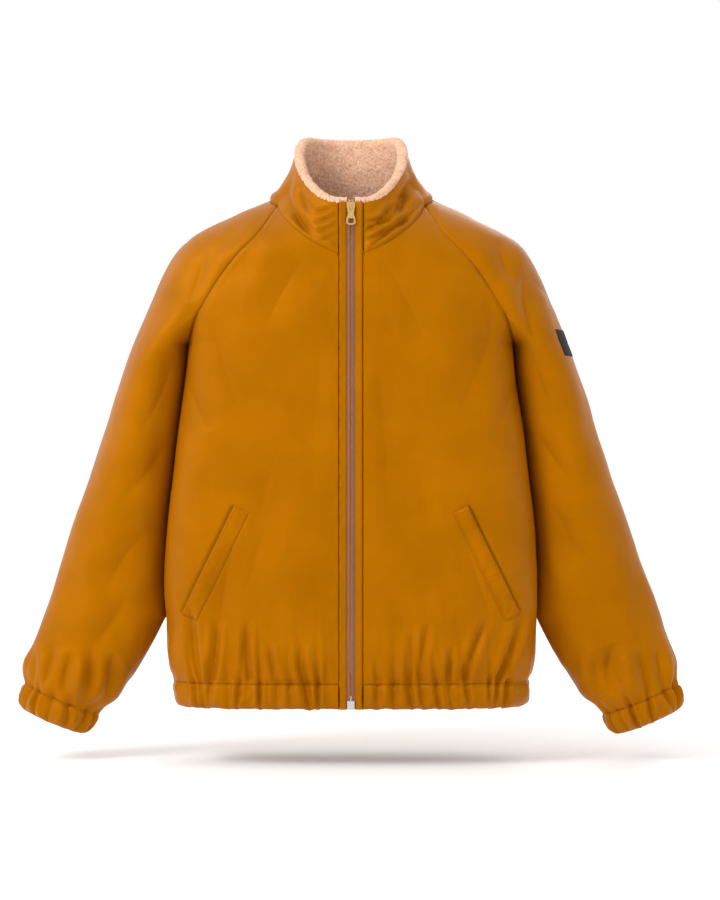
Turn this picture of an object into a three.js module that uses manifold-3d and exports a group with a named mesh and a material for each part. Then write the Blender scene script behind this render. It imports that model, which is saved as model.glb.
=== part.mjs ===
// Raglan zip-up bomber jacket with a fleece lining, standing open as it is worn.
// Millimetres, +Z up, the front faces -Y and +X is the wearer's left.
import * as THREE from 'three';
import Module from 'manifold-3d';
import { mergeVertices } from 'three/addons/utils/BufferGeometryUtils.js';

const wasm = await Module();
wasm.setup();

// ---- Driving dimensions -------------------------------------------------------------

// Body: heights are drops below the side of the neck.
const BODY_LENGTH = 715;
const HEM_BAND_HEIGHT = 35;
const HEM_HALF_WIDTH = 248;
const BODY_HALF_WIDTH = 263;
const UNDERARM_HALF_WIDTH = 229;
const UNDERARM_DROP = 205;
const ARMHOLE_TURN_DROP = 165;
const RAGLAN_HALF_WIDTH = 213;
const FRONT_DEPTH = 105;
const BACK_DEPTH = 100;
const HEM_BACK_DEPTH = 93;
const BACK_SLOPE_DROP = 150;
const BACK_TAPER_DROP = 400;
const SHOULDER_BLEND_DROP = 65;
const SHOULDER_SQUARENESS = 2.2;
const BODY_SQUARENESS = 4;
const UNDERARM_ROUNDNESS = 0.6;

// Neck and collar.
const NECK_HALF_WIDTH = 113;
const NECK_BACK_DEPTH = 62;
const NECK_SIDE_FRONT_DEPTH = 45;
const NECK_SIDE_SLOPE = 0.3;
const NECK_ROUNDNESS = 1.5;
const FRONT_NECK_DROP = 87;
const FRONT_RAGLAN_TOP_DROP = 12;
const FRONT_RAGLAN_TOP_X = 103;
const BACK_RAGLAN_TOP_X = 96;
const BACK_NECK_RISE = 3;
const COLLAR_TOP_HALF_WIDTH = 78;
const COLLAR_TOP_BACK_DEPTH = 58;
const COLLAR_FRONT_TOP = -9;
const COLLAR_BACK_TOP = 77;
const COLLAR_RISE_START = 0.26;
const COLLAR_RISE_SPAN = 1.92;
const COLLAR_FLARE = 5;
const COLLAR_AXIS_Y = -20;
const COLLAR_SHELL_LIFT = 2;
const COLLAR_LINING_LIFT = 12;

// Sleeves: places are measured from the bottom of the armhole, outwards and down.
const SLEEVE_TOP_WIDTH = 78;
const SLEEVE_TOP_HALF_DEPTH = 80;
const SLEEVE_END_HALF_DEPTH = 40;
const SLEEVE_SPREAD = 230;
const SLEEVE_DROP = 483;
const SLEEVE_INNER_DROP = 526;
const SLEEVE_END_WIDTH = 110;
const SLEEVE_LEAVES_BODY_DROP = 389;
const SLEEVE_TO_BODY_GAP = 3;
const SLEEVE_BACK_SET = 6;
const CUFF_LENGTH = 33;
const CUFF_NARROWING = 4;
const SHOULDER_TURN = 1.2;
const SLEEVE_SEAM_TURN = 0.012;

// Cloth.
const SHELL = 1.8;
const LINING = 6;
const LINING_SET_IN = 6;
const SLEEVE_LINING_EASE = 0.8;
const ELASTIC = 2;
const BAND_DEPTH = 7.5;
const ELASTIC_CLEARANCE = 0.8;
const SEAM_GAP = 0.6;
const LINING_SEAM_GAP = 3;
const PATCH_CLEARANCE = 0.6;
const BAG_THICKNESS = 1.6;
const NECK_SLOPE_ALLOWANCE = 2.2;
const LABEL_THICKNESS = 0.8;

// Zip.
const ZIP_HALF_OPENING = 6.5;
const PLACKET_WIDTH = 10;
const COIL_HALF_GAP = 1;
const COIL_WIDTH = 2.4;
const COIL_THICKNESS = 2.2;
const TAPE_WIDTH = 14;
const TAPE_THICKNESS = 0.8;
const ZIP_CLEARANCE = 0.3;
const STOP_LENGTH = 3;
const BOX_LENGTH = 12;
const BOX_HALF_WIDTH = 5;
const PIN_LENGTH = 16;
const SLIDER_LENGTH = 14;
const SLIDER_HALF_WIDTH = 6;
const SLIDER_PLATE = 1.2;
const BAIL_WIDTH = 2.4;
const BAIL_BAR = 1.2;
const BAIL_HEIGHT = 4.2;
const PULL_THICKNESS = 1.2;
const PULL_LENGTH = 28;
const PULL_TOP_HALF_WIDTH = 4.4;
const PULL_WAIST_HALF_WIDTH = 3.8;
const PULL_END_HALF_WIDTH = 6.6;
const PULL_SLOT_HALF_WIDTH = 2.2;
const PULL_SLOT_LENGTH = 6.4;
const PULL_CROSSBAR = 1.6;
const PULL_HOLE_HALF_WIDTH = 4;
const PULL_HOLE_LENGTH = 6.6;
const PULL_END_WALL = 2.4;

// Pockets, label and hanger loop.
const POCKET_TOP = [152, -438];
const POCKET_BOTTOM = [224, -588];
const WELT_WIDTH = 22;
const POCKET_SLIT = 3;
const POCKET_BAG_REACH = 90;
const POCKET_BAG_DROP = 70;
const SLEEVE_LABEL_TOP = -187;
const SLEEVE_LABEL_LENGTH = 36;
const SLEEVE_LABEL_HALF_ANGLE = 0.5;
const NECK_LABEL_HALF_WIDTH = 25;
const NECK_LABEL_HEIGHT = 26;
const NECK_LABEL_TOP = -18;
const LOOP_HALF_LENGTH = 30;
const LOOP_REACH = 15;
const LOOP_HEIGHT = 6;
const LOOP_THICKNESS = 1.2;
const LOOP_Z = -8;

// ---- Materials ----------------------------------------------------------------------

const cloth = (color) => new THREE.MeshStandardMaterial({ color, roughness: 0.62, metalness: 0 });
const metal = (color) => new THREE.MeshStandardMaterial({ color, roughness: 0.35, metalness: 1 });
const OCHRE = 0xc07806;
const FLEECE = 0xdcab8c;
const TAPE = 0xb8845e;
const WEBBING = 0xe8e4da;
const GOLD = 0xc08a44;
const SILVER = 0xc0c0c6;
const BLACK = 0x262426;

// ---- Small helpers ------------------------------------------------------------------

const mix = (a, b, t) => a + (b - a) * t;

const clamp01 = (t) => Math.min(1, Math.max(0, t));

/** Millimetres of length that a bend of one radian counts for, where points are shared out. */
const BEND_WEIGHT = 120;

const smooth = (t) => clamp01(t) ** 2 * (3 - 2 * clamp01(t));

const steps = (n) => Array.from({ length: n + 1 }, (_, i) => i / n);

/** A smooth function through [input, output] knots, given in rising order of input. */
function through(knots) {
  const slope = (i) => {
    const [a, b] = [knots[Math.max(i - 1, 0)], knots[Math.min(i + 1, knots.length - 1)]];
    return (b[1] - a[1]) / (b[0] - a[0]);
  };
  return (input) => {
    let i = 0;
    while (i < knots.length - 2 && input > knots[i + 1][0]) i += 1;
    const [[x0, y0], [x1, y1]] = [knots[i], knots[i + 1]];
    const span = x1 - x0;
    const t = clamp01((input - x0) / span);
    const rise = y1 - y0;
    const from = slope(i) * span;
    const to = slope(i + 1) * span;
    return y0 + t * from + t * t * (3 * rise - 2 * from - to) + t ** 3 * (from + to - 2 * rise);
  };
}

/** The stretch of a line of points that is left after a length is taken off each end. */
function trimmed(points, trimStart, trimEnd) {
  const reach = distancesAlong(points);
  const total = reach[reach.length - 1];
  const inside = points.filter((_, i) => reach[i] > trimStart && reach[i] < total - trimEnd);
  return [pointAlong(points, reach, trimStart), ...inside, pointAlong(points, reach, total - trimEnd)];
}

function distancesAlong(points, bendWeight = 0) {
  const reach = [0];
  for (let i = 1; i < points.length; i += 1) {
    const step = points[i].distanceTo(points[i - 1]);
    reach.push(reach[i - 1] + step + bendWeight * bendAt(points, i));
  }
  return reach;
}

function bendAt(points, i) {
  if (i + 1 >= points.length) return 0;
  const before = new THREE.Vector3().subVectors(points[i], points[i - 1]);
  const after = new THREE.Vector3().subVectors(points[i + 1], points[i]);
  return before.length() > 0 && after.length() > 0 ? before.angleTo(after) : 0;
}

function pointAlong(points, reach, wanted) {
  let i = 0;
  while (i < points.length - 2 && wanted > reach[i + 1]) i += 1;
  const share = (wanted - reach[i]) / (reach[i + 1] - reach[i]);
  return new THREE.Vector3().lerpVectors(points[i], points[i + 1], share);
}

/** n + 1 points along a line of points, closer together where it bends. */
function spread(points, n, trimStart = 0, trimEnd = 0) {
  const line = trimmed(points, trimStart, trimEnd);
  const reach = distancesAlong(line, BEND_WEIGHT);
  return steps(n).map((t) => pointAlong(line, reach, t * reach[reach.length - 1]));
}

// ---- Solids from surfaces -----------------------------------------------------------

/** Triangles over rows of points. Rows run down and their points run anticlockwise seen from above. */
function surfaceOf(blocks) {
  const points = [];
  const faces = [];
  const numbers = new Map();
  const number = (p) => {
    const key = [p.x, p.y, p.z].map((value) => Math.round(value * 1000)).join();
    if (!numbers.has(key)) {
      numbers.set(key, points.length);
      points.push(p);
    }
    return numbers.get(key);
  };
  const face = (a, b, c) => {
    if (a !== b && b !== c && c !== a) faces.push([a, b, c]);
  };
  for (const rows of blocks) {
    const indices = rows.map((row) => row.map(number));
    for (let i = 0; i + 1 < rows.length; i += 1) {
      for (let j = 0; j + 1 < rows[i].length; j += 1) {
        const [a, b] = [indices[i][j], indices[i][j + 1]];
        const [c, d] = [indices[i + 1][j + 1], indices[i + 1][j]];
        face(a, d, c);
        face(a, c, b);
      }
    }
  }
  return { points, faces };
}

/** One closed solid: a surface moved inwards by `from` and by `to`, with walls along its open edges. */
function thicken(surface, from, to) {
  const { points, faces } = surface;
  const normals = points.map(() => new THREE.Vector3());
  for (const [a, b, c] of faces) {
    const ab = new THREE.Vector3().subVectors(points[b], points[a]);
    const ac = new THREE.Vector3().subVectors(points[c], points[a]);
    const normal = ab.cross(ac);
    for (const i of [a, b, c]) normals[i].add(normal);
  }
  normals.forEach((normal) => normal.normalize());
  const moved = (depth) => points.map((p, i) => p.clone().addScaledVector(normals[i], -depth));
  const all = [...moved(from), ...moved(to)];
  const inner = points.length;
  const directed = new Set(faces.flatMap(([a, b, c]) => [`${a},${b}`, `${b},${c}`, `${c},${a}`]));
  const solid = [];
  for (const [a, b, c] of faces) {
    solid.push([a, b, c], [a + inner, c + inner, b + inner]);
    for (const [p, q] of [[a, b], [b, c], [c, a]]) {
      if (!directed.has(`${q},${p}`)) {
        solid.push([q, p, p + inner], [q, p + inner, q + inner]);
      }
    }
  }
  return geometryOf(all, solid);
}

function geometryOf(points, faces) {
  const geometry = new THREE.BufferGeometry().setFromPoints(points);
  geometry.setIndex(faces.flat());
  return geometry;
}

/** A closed outline carried through a list of places. Each section lists the same number of points. */
function sweep(sections, closed) {
  const size = sections[0].length;
  const faces = [];
  const last = closed ? sections.length : sections.length - 1;
  for (let k = 0; k < last; k += 1) {
    const [here, next] = [k * size, ((k + 1) % sections.length) * size];
    for (let i = 0; i < size; i += 1) {
      const j = (i + 1) % size;
      faces.push([here + i, here + j, next + j], [here + i, next + j, next + i]);
    }
  }
  if (!closed) {
    const caps = THREE.ShapeUtils.triangulateShape(capOutline(sections[0]), []);
    const end = (sections.length - 1) * size;
    for (const [a, b, c] of caps) faces.push([c, b, a], [a + end, b + end, c + end]);
  }
  return facingOut(geometryOf(sections.flat(), faces));
}

/** The outline of a section in its own upright plane: level distance from its first point, and height. */
function capOutline(section) {
  const start = section[0];
  return section.map((p) => new THREE.Vector2(Math.hypot(p.x - start.x, p.y - start.y), p.z));
}

function volumeOf(geometry) {
  const place = geometry.getAttribute('position');
  const index = geometry.getIndex().array;
  const [a, b, c] = [new THREE.Vector3(), new THREE.Vector3(), new THREE.Vector3()];
  let volume = 0;
  for (let i = 0; i < index.length; i += 3) {
    a.fromBufferAttribute(place, index[i]);
    b.fromBufferAttribute(place, index[i + 1]);
    c.fromBufferAttribute(place, index[i + 2]);
    volume += a.dot(b.cross(c)) / 6;
  }
  return volume;
}

function turnedInsideOut(geometry) {
  const index = geometry.getIndex().array;
  for (let i = 0; i < index.length; i += 3) [index[i + 1], index[i + 2]] = [index[i + 2], index[i + 1]];
  return geometry;
}

function facingOut(geometry) {
  return volumeOf(geometry) < 0 ? turnedInsideOut(geometry) : geometry;
}

/** The same piece for the other side of the wearer. */
function mirrored(geometry) {
  return turnedInsideOut(geometry.clone().scale(-1, 1, 1));
}

function toManifold(geometry) {
  const bare = geometry.clone();
  bare.deleteAttribute('normal');
  bare.deleteAttribute('uv');
  const merged = mergeVertices(bare, 1e-4);
  return new wasm.Manifold(new wasm.Mesh({
    numProp: 3,
    vertProperties: new Float32Array(merged.getAttribute('position').array),
    triVerts: new Uint32Array(merged.getIndex().array),
  }));
}

function fromManifold(solid) {
  const mesh = solid.getMesh();
  const geometry = new THREE.BufferGeometry();
  geometry.setAttribute('position', new THREE.BufferAttribute(new Float32Array(mesh.vertProperties), 3));
  geometry.setIndex(new THREE.BufferAttribute(new Uint32Array(mesh.triVerts), 1));
  return geometry;
}

const joined = (first, ...rest) =>
  fromManifold(rest.reduce((sum, geometry) => sum.add(toManifold(geometry)), toManifold(first)));

const cutBy = (geometry, tool) => fromManifold(toManifold(geometry).subtract(toManifold(tool)));

/** A box between two corners. */
function block(low, high) {
  const size = high.map((value, i) => value - low[i]);
  const middle = high.map((value, i) => (value + low[i]) / 2);
  return new THREE.BoxGeometry(...size).translate(...middle);
}

// ---- The jacket's outline -----------------------------------------------------------

const UNDERARM_Z = -UNDERARM_DROP;
const TURN_Z = -ARMHOLE_TURN_DROP;
const HEM_Z = -BODY_LENGTH;
const HEM_SEAM_Z = HEM_Z + HEM_BAND_HEIGHT;
const SLEEVE_ROOT_X = UNDERARM_HALF_WIDTH + SLEEVE_TO_BODY_GAP;

/** Half-width of the body below the armhole. */
const torsoHalfWidth = through([
  [HEM_Z, HEM_HALF_WIDTH],
  [HEM_SEAM_Z, HEM_HALF_WIDTH + 4],
  [mix(HEM_SEAM_Z, UNDERARM_Z, 0.15), BODY_HALF_WIDTH - 4],
  [mix(HEM_SEAM_Z, UNDERARM_Z, 0.4), BODY_HALF_WIDTH],
  [mix(HEM_SEAM_Z, UNDERARM_Z, 0.6), mix(UNDERARM_HALF_WIDTH, BODY_HALF_WIDTH, 0.75)],
  [mix(HEM_SEAM_Z, UNDERARM_Z, 0.8), mix(UNDERARM_HALF_WIDTH, BODY_HALF_WIDTH, 0.4)],
  [UNDERARM_Z, UNDERARM_HALF_WIDTH],
]);

/** The shoulder line, as a share of the way out from the neck against a share of the armhole's drop. */
const shoulderShare = through([
  [0, 0], [0.03, 0.07], [0.127, 0.29], [0.249, 0.55], [0.337, 0.66],
  [0.478, 0.77], [0.678, 0.865], [0.873, 0.949], [1, 1],
]);

const SLEEVE_TOP_X = SLEEVE_ROOT_X + SLEEVE_TOP_WIDTH;

/** The outermost edge of the shoulder and sleeve at a height above the bottom of the armhole. */
function shoulderEdge(z) {
  if (z > 0) return NECK_HALF_WIDTH - NECK_SIDE_SLOPE * z;
  return mix(NECK_HALF_WIDTH, SLEEVE_TOP_X, shoulderShare(-z / UNDERARM_DROP));
}

const shoulderToBody = (z) => smooth((UNDERARM_DROP - SHOULDER_BLEND_DROP + z) / -SHOULDER_BLEND_DROP);

const bodyHalfWidth = (z) => {
  if (z <= UNDERARM_Z) return torsoHalfWidth(z);
  return mix(shoulderEdge(z), UNDERARM_HALF_WIDTH, shoulderToBody(z));
};

/** How square the body's level sections are: 2 is an ellipse. */
const bodySquareness = (z) => mix(SHOULDER_SQUARENESS, BODY_SQUARENESS, shoulderToBody(z));

function frontDepth(z) {
  const rise = clamp01((z + FRONT_NECK_DROP) / FRONT_NECK_DROP);
  return mix(FRONT_DEPTH, NECK_SIDE_FRONT_DEPTH, rise ** 2);
}

function backDepth(z) {
  const rise = (z + BACK_SLOPE_DROP) / BACK_SLOPE_DROP;
  if (rise > 0) return mix(BACK_DEPTH, NECK_BACK_DEPTH, rise ** 2);
  return mix(BACK_DEPTH, HEM_BACK_DEPTH, smooth((z + BACK_TAPER_DROP) / (HEM_Z + BACK_TAPER_DROP)));
}

/** A point of the body at a height: angle -90 degrees is the centre front, 0 the side, 90 the centre back. */
function bodyPoint(angle, z, inset = 0) {
  const power = 2 / bodySquareness(z);
  const depth = angle < 0 ? frontDepth(z) : backDepth(z);
  const x = (bodyHalfWidth(z) - inset) * Math.max(Math.cos(angle), 0) ** power;
  const y = (depth - inset) * Math.abs(Math.sin(angle)) ** power;
  return new THREE.Vector3(x, angle < 0 ? -y : y, z);
}

/** The angle at which the body reaches a distance from the centre line. */
function angleAt(x, z, back) {
  const share = clamp01(x / bodyHalfWidth(z)) ** (bodySquareness(z) / 2);
  return back ? Math.acos(share) : -Math.acos(share);
}

const frontRaglan = through([
  [TURN_Z, RAGLAN_HALF_WIDTH],
  [mix(TURN_Z, 0, 0.3), mix(RAGLAN_HALF_WIDTH, FRONT_RAGLAN_TOP_X, 0.28)],
  [mix(TURN_Z, 0, 0.68), mix(RAGLAN_HALF_WIDTH, FRONT_RAGLAN_TOP_X, 0.76)],
  [-FRONT_RAGLAN_TOP_DROP, FRONT_RAGLAN_TOP_X],
]);

const backRaglan = through([
  [TURN_Z, RAGLAN_HALF_WIDTH],
  [mix(TURN_Z, 0, 0.5), mix(RAGLAN_HALF_WIDTH, BACK_RAGLAN_TOP_X, 0.45)],
  [BACK_NECK_RISE, BACK_RAGLAN_TOP_X],
]);

/** The angle at which the body ends against the sleeve. */
function armholeAngle(z, back) {
  if (z <= UNDERARM_Z) return 0;
  if (z >= TURN_Z) return angleAt((back ? backRaglan : frontRaglan)(z), z, back);
  const share = (z - UNDERARM_Z) / (TURN_Z - UNDERARM_Z);
  return angleAt(RAGLAN_HALF_WIDTH, TURN_Z, back) * share ** UNDERARM_ROUNDNESS;
}

/** Distance of the front neck seam from the centre line. */
function neckX(z) {
  const share = clamp01((-FRONT_RAGLAN_TOP_DROP - z) / (FRONT_NECK_DROP - FRONT_RAGLAN_TOP_DROP));
  return FRONT_RAGLAN_TOP_X * (1 - share ** NECK_ROUNDNESS) ** (1 / NECK_ROUNDNESS);
}

// ---- Sleeve sections ----------------------------------------------------------------

const SLEEVE_OUTER_TOP = [SLEEVE_TOP_X, UNDERARM_Z];
const SLEEVE_OUTER_END = [SLEEVE_ROOT_X + SLEEVE_SPREAD, UNDERARM_Z - SLEEVE_DROP];
const SLEEVE_INNER_END_Z = UNDERARM_Z - SLEEVE_INNER_DROP;
const SLEEVE_INNER_END_X = SLEEVE_OUTER_END[0]
  - Math.sqrt(SLEEVE_END_WIDTH ** 2 - (SLEEVE_INNER_DROP - SLEEVE_DROP) ** 2);
const LEAVES_BODY_Z = UNDERARM_Z - SLEEVE_LEAVES_BODY_DROP;

/** Outer edge: straight down the arm, then gathered into the cuff. */
const sleeveOuterX = through([
  [SLEEVE_OUTER_END[1], SLEEVE_OUTER_END[0]],
  [mix(SLEEVE_OUTER_END[1], UNDERARM_Z, 0.075), SLEEVE_OUTER_END[0] - 4],
  [mix(SLEEVE_OUTER_END[1], UNDERARM_Z, 0.14), SLEEVE_OUTER_END[0] - 13],
  [mix(SLEEVE_OUTER_END[1], UNDERARM_Z, 0.6), mix(SLEEVE_OUTER_END[0], SLEEVE_TOP_X, 0.575)],
  [UNDERARM_Z, SLEEVE_TOP_X],
]);

const leavingX = torsoHalfWidth(LEAVES_BODY_Z) + SLEEVE_TO_BODY_GAP;

/** Inner edge below the place where the sleeve leaves the body's side. */
const sleeveFreeInnerX = through([
  [SLEEVE_INNER_END_Z, SLEEVE_INNER_END_X],
  [mix(SLEEVE_INNER_END_Z, LEAVES_BODY_Z, 0.17), mix(SLEEVE_INNER_END_X, leavingX, 0.27)],
  [mix(SLEEVE_INNER_END_Z, LEAVES_BODY_Z, 0.45), mix(SLEEVE_INNER_END_X, leavingX, 0.6)],
  [LEAVES_BODY_Z, leavingX],
]);

const sleeveInnerX = (z) => (z < LEAVES_BODY_Z
  ? sleeveFreeInnerX(z)
  : torsoHalfWidth(z) + SLEEVE_TO_BODY_GAP);

const sleeveHalfDepth = (down) => (
  mix(SLEEVE_TOP_HALF_DEPTH, SLEEVE_END_HALF_DEPTH, (smooth(down) + down) / 2)
);

const sleeveBackSet = (down) => SLEEVE_BACK_SET * smooth(down * 4) * (1 - smooth(down));

/** Where a sleeve section above the armhole's bottom meets the body, and the ellipse it lies on. */
function shoulderSection(z, back) {
  const seam = bodyPoint(armholeAngle(z, back), z);
  const outer = shoulderEdge(z);
  const reach = Math.abs(seam.y);
  if (z >= TURN_Z) {
    const turn = mix(SHOULDER_TURN, Math.PI / 2, smooth(z / TURN_Z));
    const half = (outer - seam.x) / (1 - Math.cos(turn));
    return { turn, half, centre: outer - half, depth: reach / Math.sin(turn) };
  }
  const share = (TURN_Z - z) / (TURN_Z - UNDERARM_Z);
  const turnReach = Math.abs(bodyPoint(armholeAngle(TURN_Z, back), TURN_Z).y);
  const depth = mix(turnReach, SLEEVE_TOP_HALF_DEPTH, share);
  const turn = Math.PI - Math.asin(Math.min(1, reach / depth));
  const half = (outer - seam.x - SLEEVE_TO_BODY_GAP * share) / (1 - Math.cos(turn));
  return { turn, half, centre: outer - half, depth };
}

/** A point of the sleeve above the armhole's bottom: turn 0 is the outer edge, negative is the front. */
function shoulderPoint(turn, z, inset) {
  const { half, centre, depth } = shoulderSection(z, turn > 0);
  return new THREE.Vector3(
    centre + (half - inset) * Math.cos(turn),
    (depth - inset) * Math.sin(turn),
    z,
  );
}

/** A point of the sleeve's tube: down runs from 0 at the armhole's bottom to 1 at the cuff. */
function sleevePoint(turn, down, inset) {
  const outerZ = mix(UNDERARM_Z, SLEEVE_OUTER_END[1], down);
  const innerZ = mix(UNDERARM_Z, SLEEVE_INNER_END_Z, down);
  const outer = new THREE.Vector2(sleeveOuterX(outerZ), outerZ);
  const inner = new THREE.Vector2(sleeveInnerX(innerZ), innerZ);
  const middle = outer.clone().add(inner).multiplyScalar(0.5);
  const half = outer.clone().sub(middle);
  half.setLength(half.length() - inset);
  const across = Math.cos(turn);
  return new THREE.Vector3(
    middle.x + half.x * across,
    sleeveBackSet(down) + (sleeveHalfDepth(down) - inset) * Math.sin(turn),
    middle.y + half.y * across,
  );
}

/** Height at which the armhole's edge crosses a turn of the sleeve. */
function armholeHeight(turn) {
  if (Math.abs(turn) <= Math.PI / 2) return TURN_Z;
  let [low, high] = [UNDERARM_Z, TURN_Z];
  for (let i = 0; i < 30; i += 1) {
    const middle = (low + high) / 2;
    if (shoulderSection(middle, turn > 0).turn > Math.abs(turn)) low = middle;
    else high = middle;
  }
  return (low + high) / 2;
}

const neckHeight = (side) => (side < 0 ? -FRONT_RAGLAN_TOP_DROP : BACK_NECK_RISE) * side ** 2;

/** Share of the way down the sleeve at which its tube starts, just below the armhole. */
const TUBE_START = 0.05;

/** Turn over which the armhole's gap grows once it leaves the level part of its edge. */
const ROOT_GAP_TURN = 0.4;

const WHOLE_SLEEVE = [-1, 1];
const SLEEVE_FRONT = [-1, 0];
const SLEEVE_BACK = [0, 1];

/** The sleeve, or its front or back half: the shoulder piece, the armhole turn and the tube, joined. */
function sleeveSurface({ part, seamTurn, around, shoulderRows, tubeRows, inset, gap, rootGap, endGap }) {
  const [from, to] = part;
  const betweenSeams = (turn) => (
    Math.min(to * Math.PI - seamTurn, Math.max(from * Math.PI + seamTurn, turn))
  );
  const sides = steps(around / 4 * (to - from)).map((t) => mix(from, to, t));
  const turns = steps(around / 2 * (to - from)).map((t) => betweenSeams(mix(from, to, t) * Math.PI));
  const seamShare = (z) => 1 - gap / Math.abs(bodyPoint(armholeAngle(z, false), z).y);
  const shoulder = steps(shoulderRows).map((t) => sides.map((side) => {
    const z = mix(neckHeight(side) - gap, TURN_Z, t);
    const { turn } = shoulderSection(z, side > 0);
    const held = mix(seamShare(z), 1, smooth((t - 0.6) / 0.4));
    return shoulderPoint(betweenSeams(side * turn * held), z, inset);
  }));
  const turnRow = (t) => turns.map((turn) => {
    const edge = armholeHeight(turn) - rootGap * smooth((Math.abs(turn) - Math.PI / 2) / ROOT_GAP_TURN);
    const endZ = sleevePoint(turn, TUBE_START, inset).z;
    const z = mix(edge, endZ, t);
    if (z >= UNDERARM_Z) return shoulderPoint(turn, z, inset);
    return sleevePoint(turn, TUBE_START * (UNDERARM_Z - z) / (UNDERARM_Z - endZ), inset);
  });
  const armhole = [0, 0.35, 0.7, 1].map(turnRow);
  const tube = steps(tubeRows).map((t) => turns.map((turn) => (
    sleevePoint(turn, mix(TUBE_START, 1 - endGap / SLEEVE_DROP, t), inset)
  )));
  return surfaceOf([shoulder, armhole, tube]);
}

// ---- Body panels --------------------------------------------------------------------

const FRONT_EDGE_X = ZIP_HALF_OPENING + PLACKET_WIDTH + SEAM_GAP;
const COLLAR_EDGE_X = FRONT_EDGE_X + 2 * SEAM_GAP;

/** Heights of a panel's rows, closer together round the armhole. */
function panelHeights(top, bottom, upper, lower) {
  const above = steps(upper).map((t) => mix(top, TURN_Z, t));
  const turn = [0.25, 0.5, 0.75, 1].map((t) => mix(TURN_Z, UNDERARM_Z, t));
  const below = steps(lower).slice(1).map((t) => mix(UNDERARM_Z, bottom, t));
  return [...above, ...turn, ...below];
}

/** The part of a level section between two angles. */
function levelCurve(from, to, z, inset) {
  return steps(60).map((t) => bodyPoint(mix(from, to, t), z, inset));
}

function frontPanelSurface({ columns, upper, lower, inset, gap, edgeX, bottom }) {
  const top = -FRONT_RAGLAN_TOP_DROP - 4 * gap - 3;
  return surfaceOf([panelHeights(top, bottom, upper, lower).map((z) => {
    const fromX = z > -FRONT_NECK_DROP ? Math.max(neckX(z), edgeX) : edgeX;
    const curve = levelCurve(angleAt(fromX, z, false), armholeAngle(z, false), z, inset);
    return spread(curve, columns, z > -FRONT_NECK_DROP ? gap : 0, gap);
  })]);
}

function backPanelSurface({ columns, upper, lower, inset, gap, bottom }) {
  const top = BACK_NECK_RISE - gap;
  return surfaceOf([panelHeights(top, bottom, upper, lower).map((z) => {
    const half = spread(levelCurve(armholeAngle(z, true), Math.PI / 2, z, inset), columns / 2, gap, 0);
    const other = half.slice(0, -1).reverse().map((p) => new THREE.Vector3(-p.x, p.y, p.z));
    return [...half, ...other];
  })]);
}

/** A patch of the front, between two lines given as [x, z] ends, at a depth below the shell's face. */
function frontPatch(inner, outer, rows, columns, inset) {
  return surfaceOf([steps(rows).map((down) => steps(columns).map((across) => {
    const x = mix(mix(inner[0][0], inner[1][0], down), mix(outer[0][0], outer[1][0], down), across);
    const z = mix(mix(inner[0][1], inner[1][1], down), mix(outer[0][1], outer[1][1], down), across);
    const angle = angleAt(x, z, false);
    return bodyPoint(angle, z, inset);
  }))]);
}

// ---- Collar -------------------------------------------------------------------------

/** Half of the neck seam, from the centre front round to the centre back. */
function neckSeam() {
  const front = steps(24).map((t) => {
    const z = mix(-FRONT_NECK_DROP, -FRONT_RAGLAN_TOP_DROP, t ** 2);
    return bodyPoint(angleAt(Math.max(neckX(z), COLLAR_EDGE_X), z, false), z);
  });
  const side = steps(16).slice(1).map((t) => {
    const place = mix(-1, 1, t);
    const z = neckHeight(place);
    return shoulderPoint(place * shoulderSection(z, place > 0).turn, z, 0);
  });
  const z = BACK_NECK_RISE;
  const back = levelCurve(angleAt(backRaglan(z), z, true), Math.PI / 2, z, 0).slice(1);
  return [...front, ...side, ...back];
}

/** The collar's top edge: turn 0 is the centre front, and PI the centre back. */
function collarTop(turn) {
  const middle = (COLLAR_TOP_BACK_DEPTH - FRONT_DEPTH) / 2;
  const halfDepth = (COLLAR_TOP_BACK_DEPTH + FRONT_DEPTH) / 2;
  const rise = smooth((turn - COLLAR_RISE_START) / COLLAR_RISE_SPAN);
  return new THREE.Vector3(
    COLLAR_TOP_HALF_WIDTH * Math.sin(turn),
    middle - halfDepth * Math.cos(turn),
    mix(COLLAR_FRONT_TOP, COLLAR_BACK_TOP, rise),
  );
}

function collarSurface({ columns, rows, lift, drop }) {
  const startTurn = Math.asin(COLLAR_EDGE_X / COLLAR_TOP_HALF_WIDTH);
  const base = spread(neckSeam(), columns);
  const edge = spread(steps(60).map((t) => collarTop(mix(startTurn, Math.PI, t))), columns);
  const half = steps(rows).map((down) => edge.map((top, i) => {
    const height = top.distanceTo(base[i]);
    const share = mix(drop / height, 1 - lift / height, down);
    const flare = COLLAR_FLARE * Math.sin(Math.PI * share) * smooth(i / columns * 4);
    const point = new THREE.Vector3().lerpVectors(top, base[i], share);
    const inward = new THREE.Vector3(-point.x, COLLAR_AXIS_Y - point.y, 0).setLength(flare);
    return point.add(inward);
  }));
  return surfaceOf([half.map((row) => {
    const other = row.map((p) => new THREE.Vector3(-p.x, p.y, p.z)).reverse();
    return [...row, ...other.slice(1)];
  })]);
}

// ---- Hem band, cuffs and their elastics ---------------------------------------------

/** The folded band's section, as [depth below the face, height above the fold], open at the top. */
const bandSection = (height) => [
  [0, height], [0, 0], [BAND_DEPTH, 0], [BAND_DEPTH, height],
  [BAND_DEPTH - SHELL, height], [BAND_DEPTH - SHELL, SHELL], [SHELL, SHELL], [SHELL, height],
];

const elasticSection = (height) => {
  const [near, far] = [SHELL + ELASTIC_CLEARANCE, SHELL + ELASTIC_CLEARANCE + ELASTIC];
  const [low, high] = [SHELL + ELASTIC_CLEARANCE, height - ELASTIC_CLEARANCE];
  return [[near, high], [near, low], [far, low], [far, high]];
};

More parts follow.
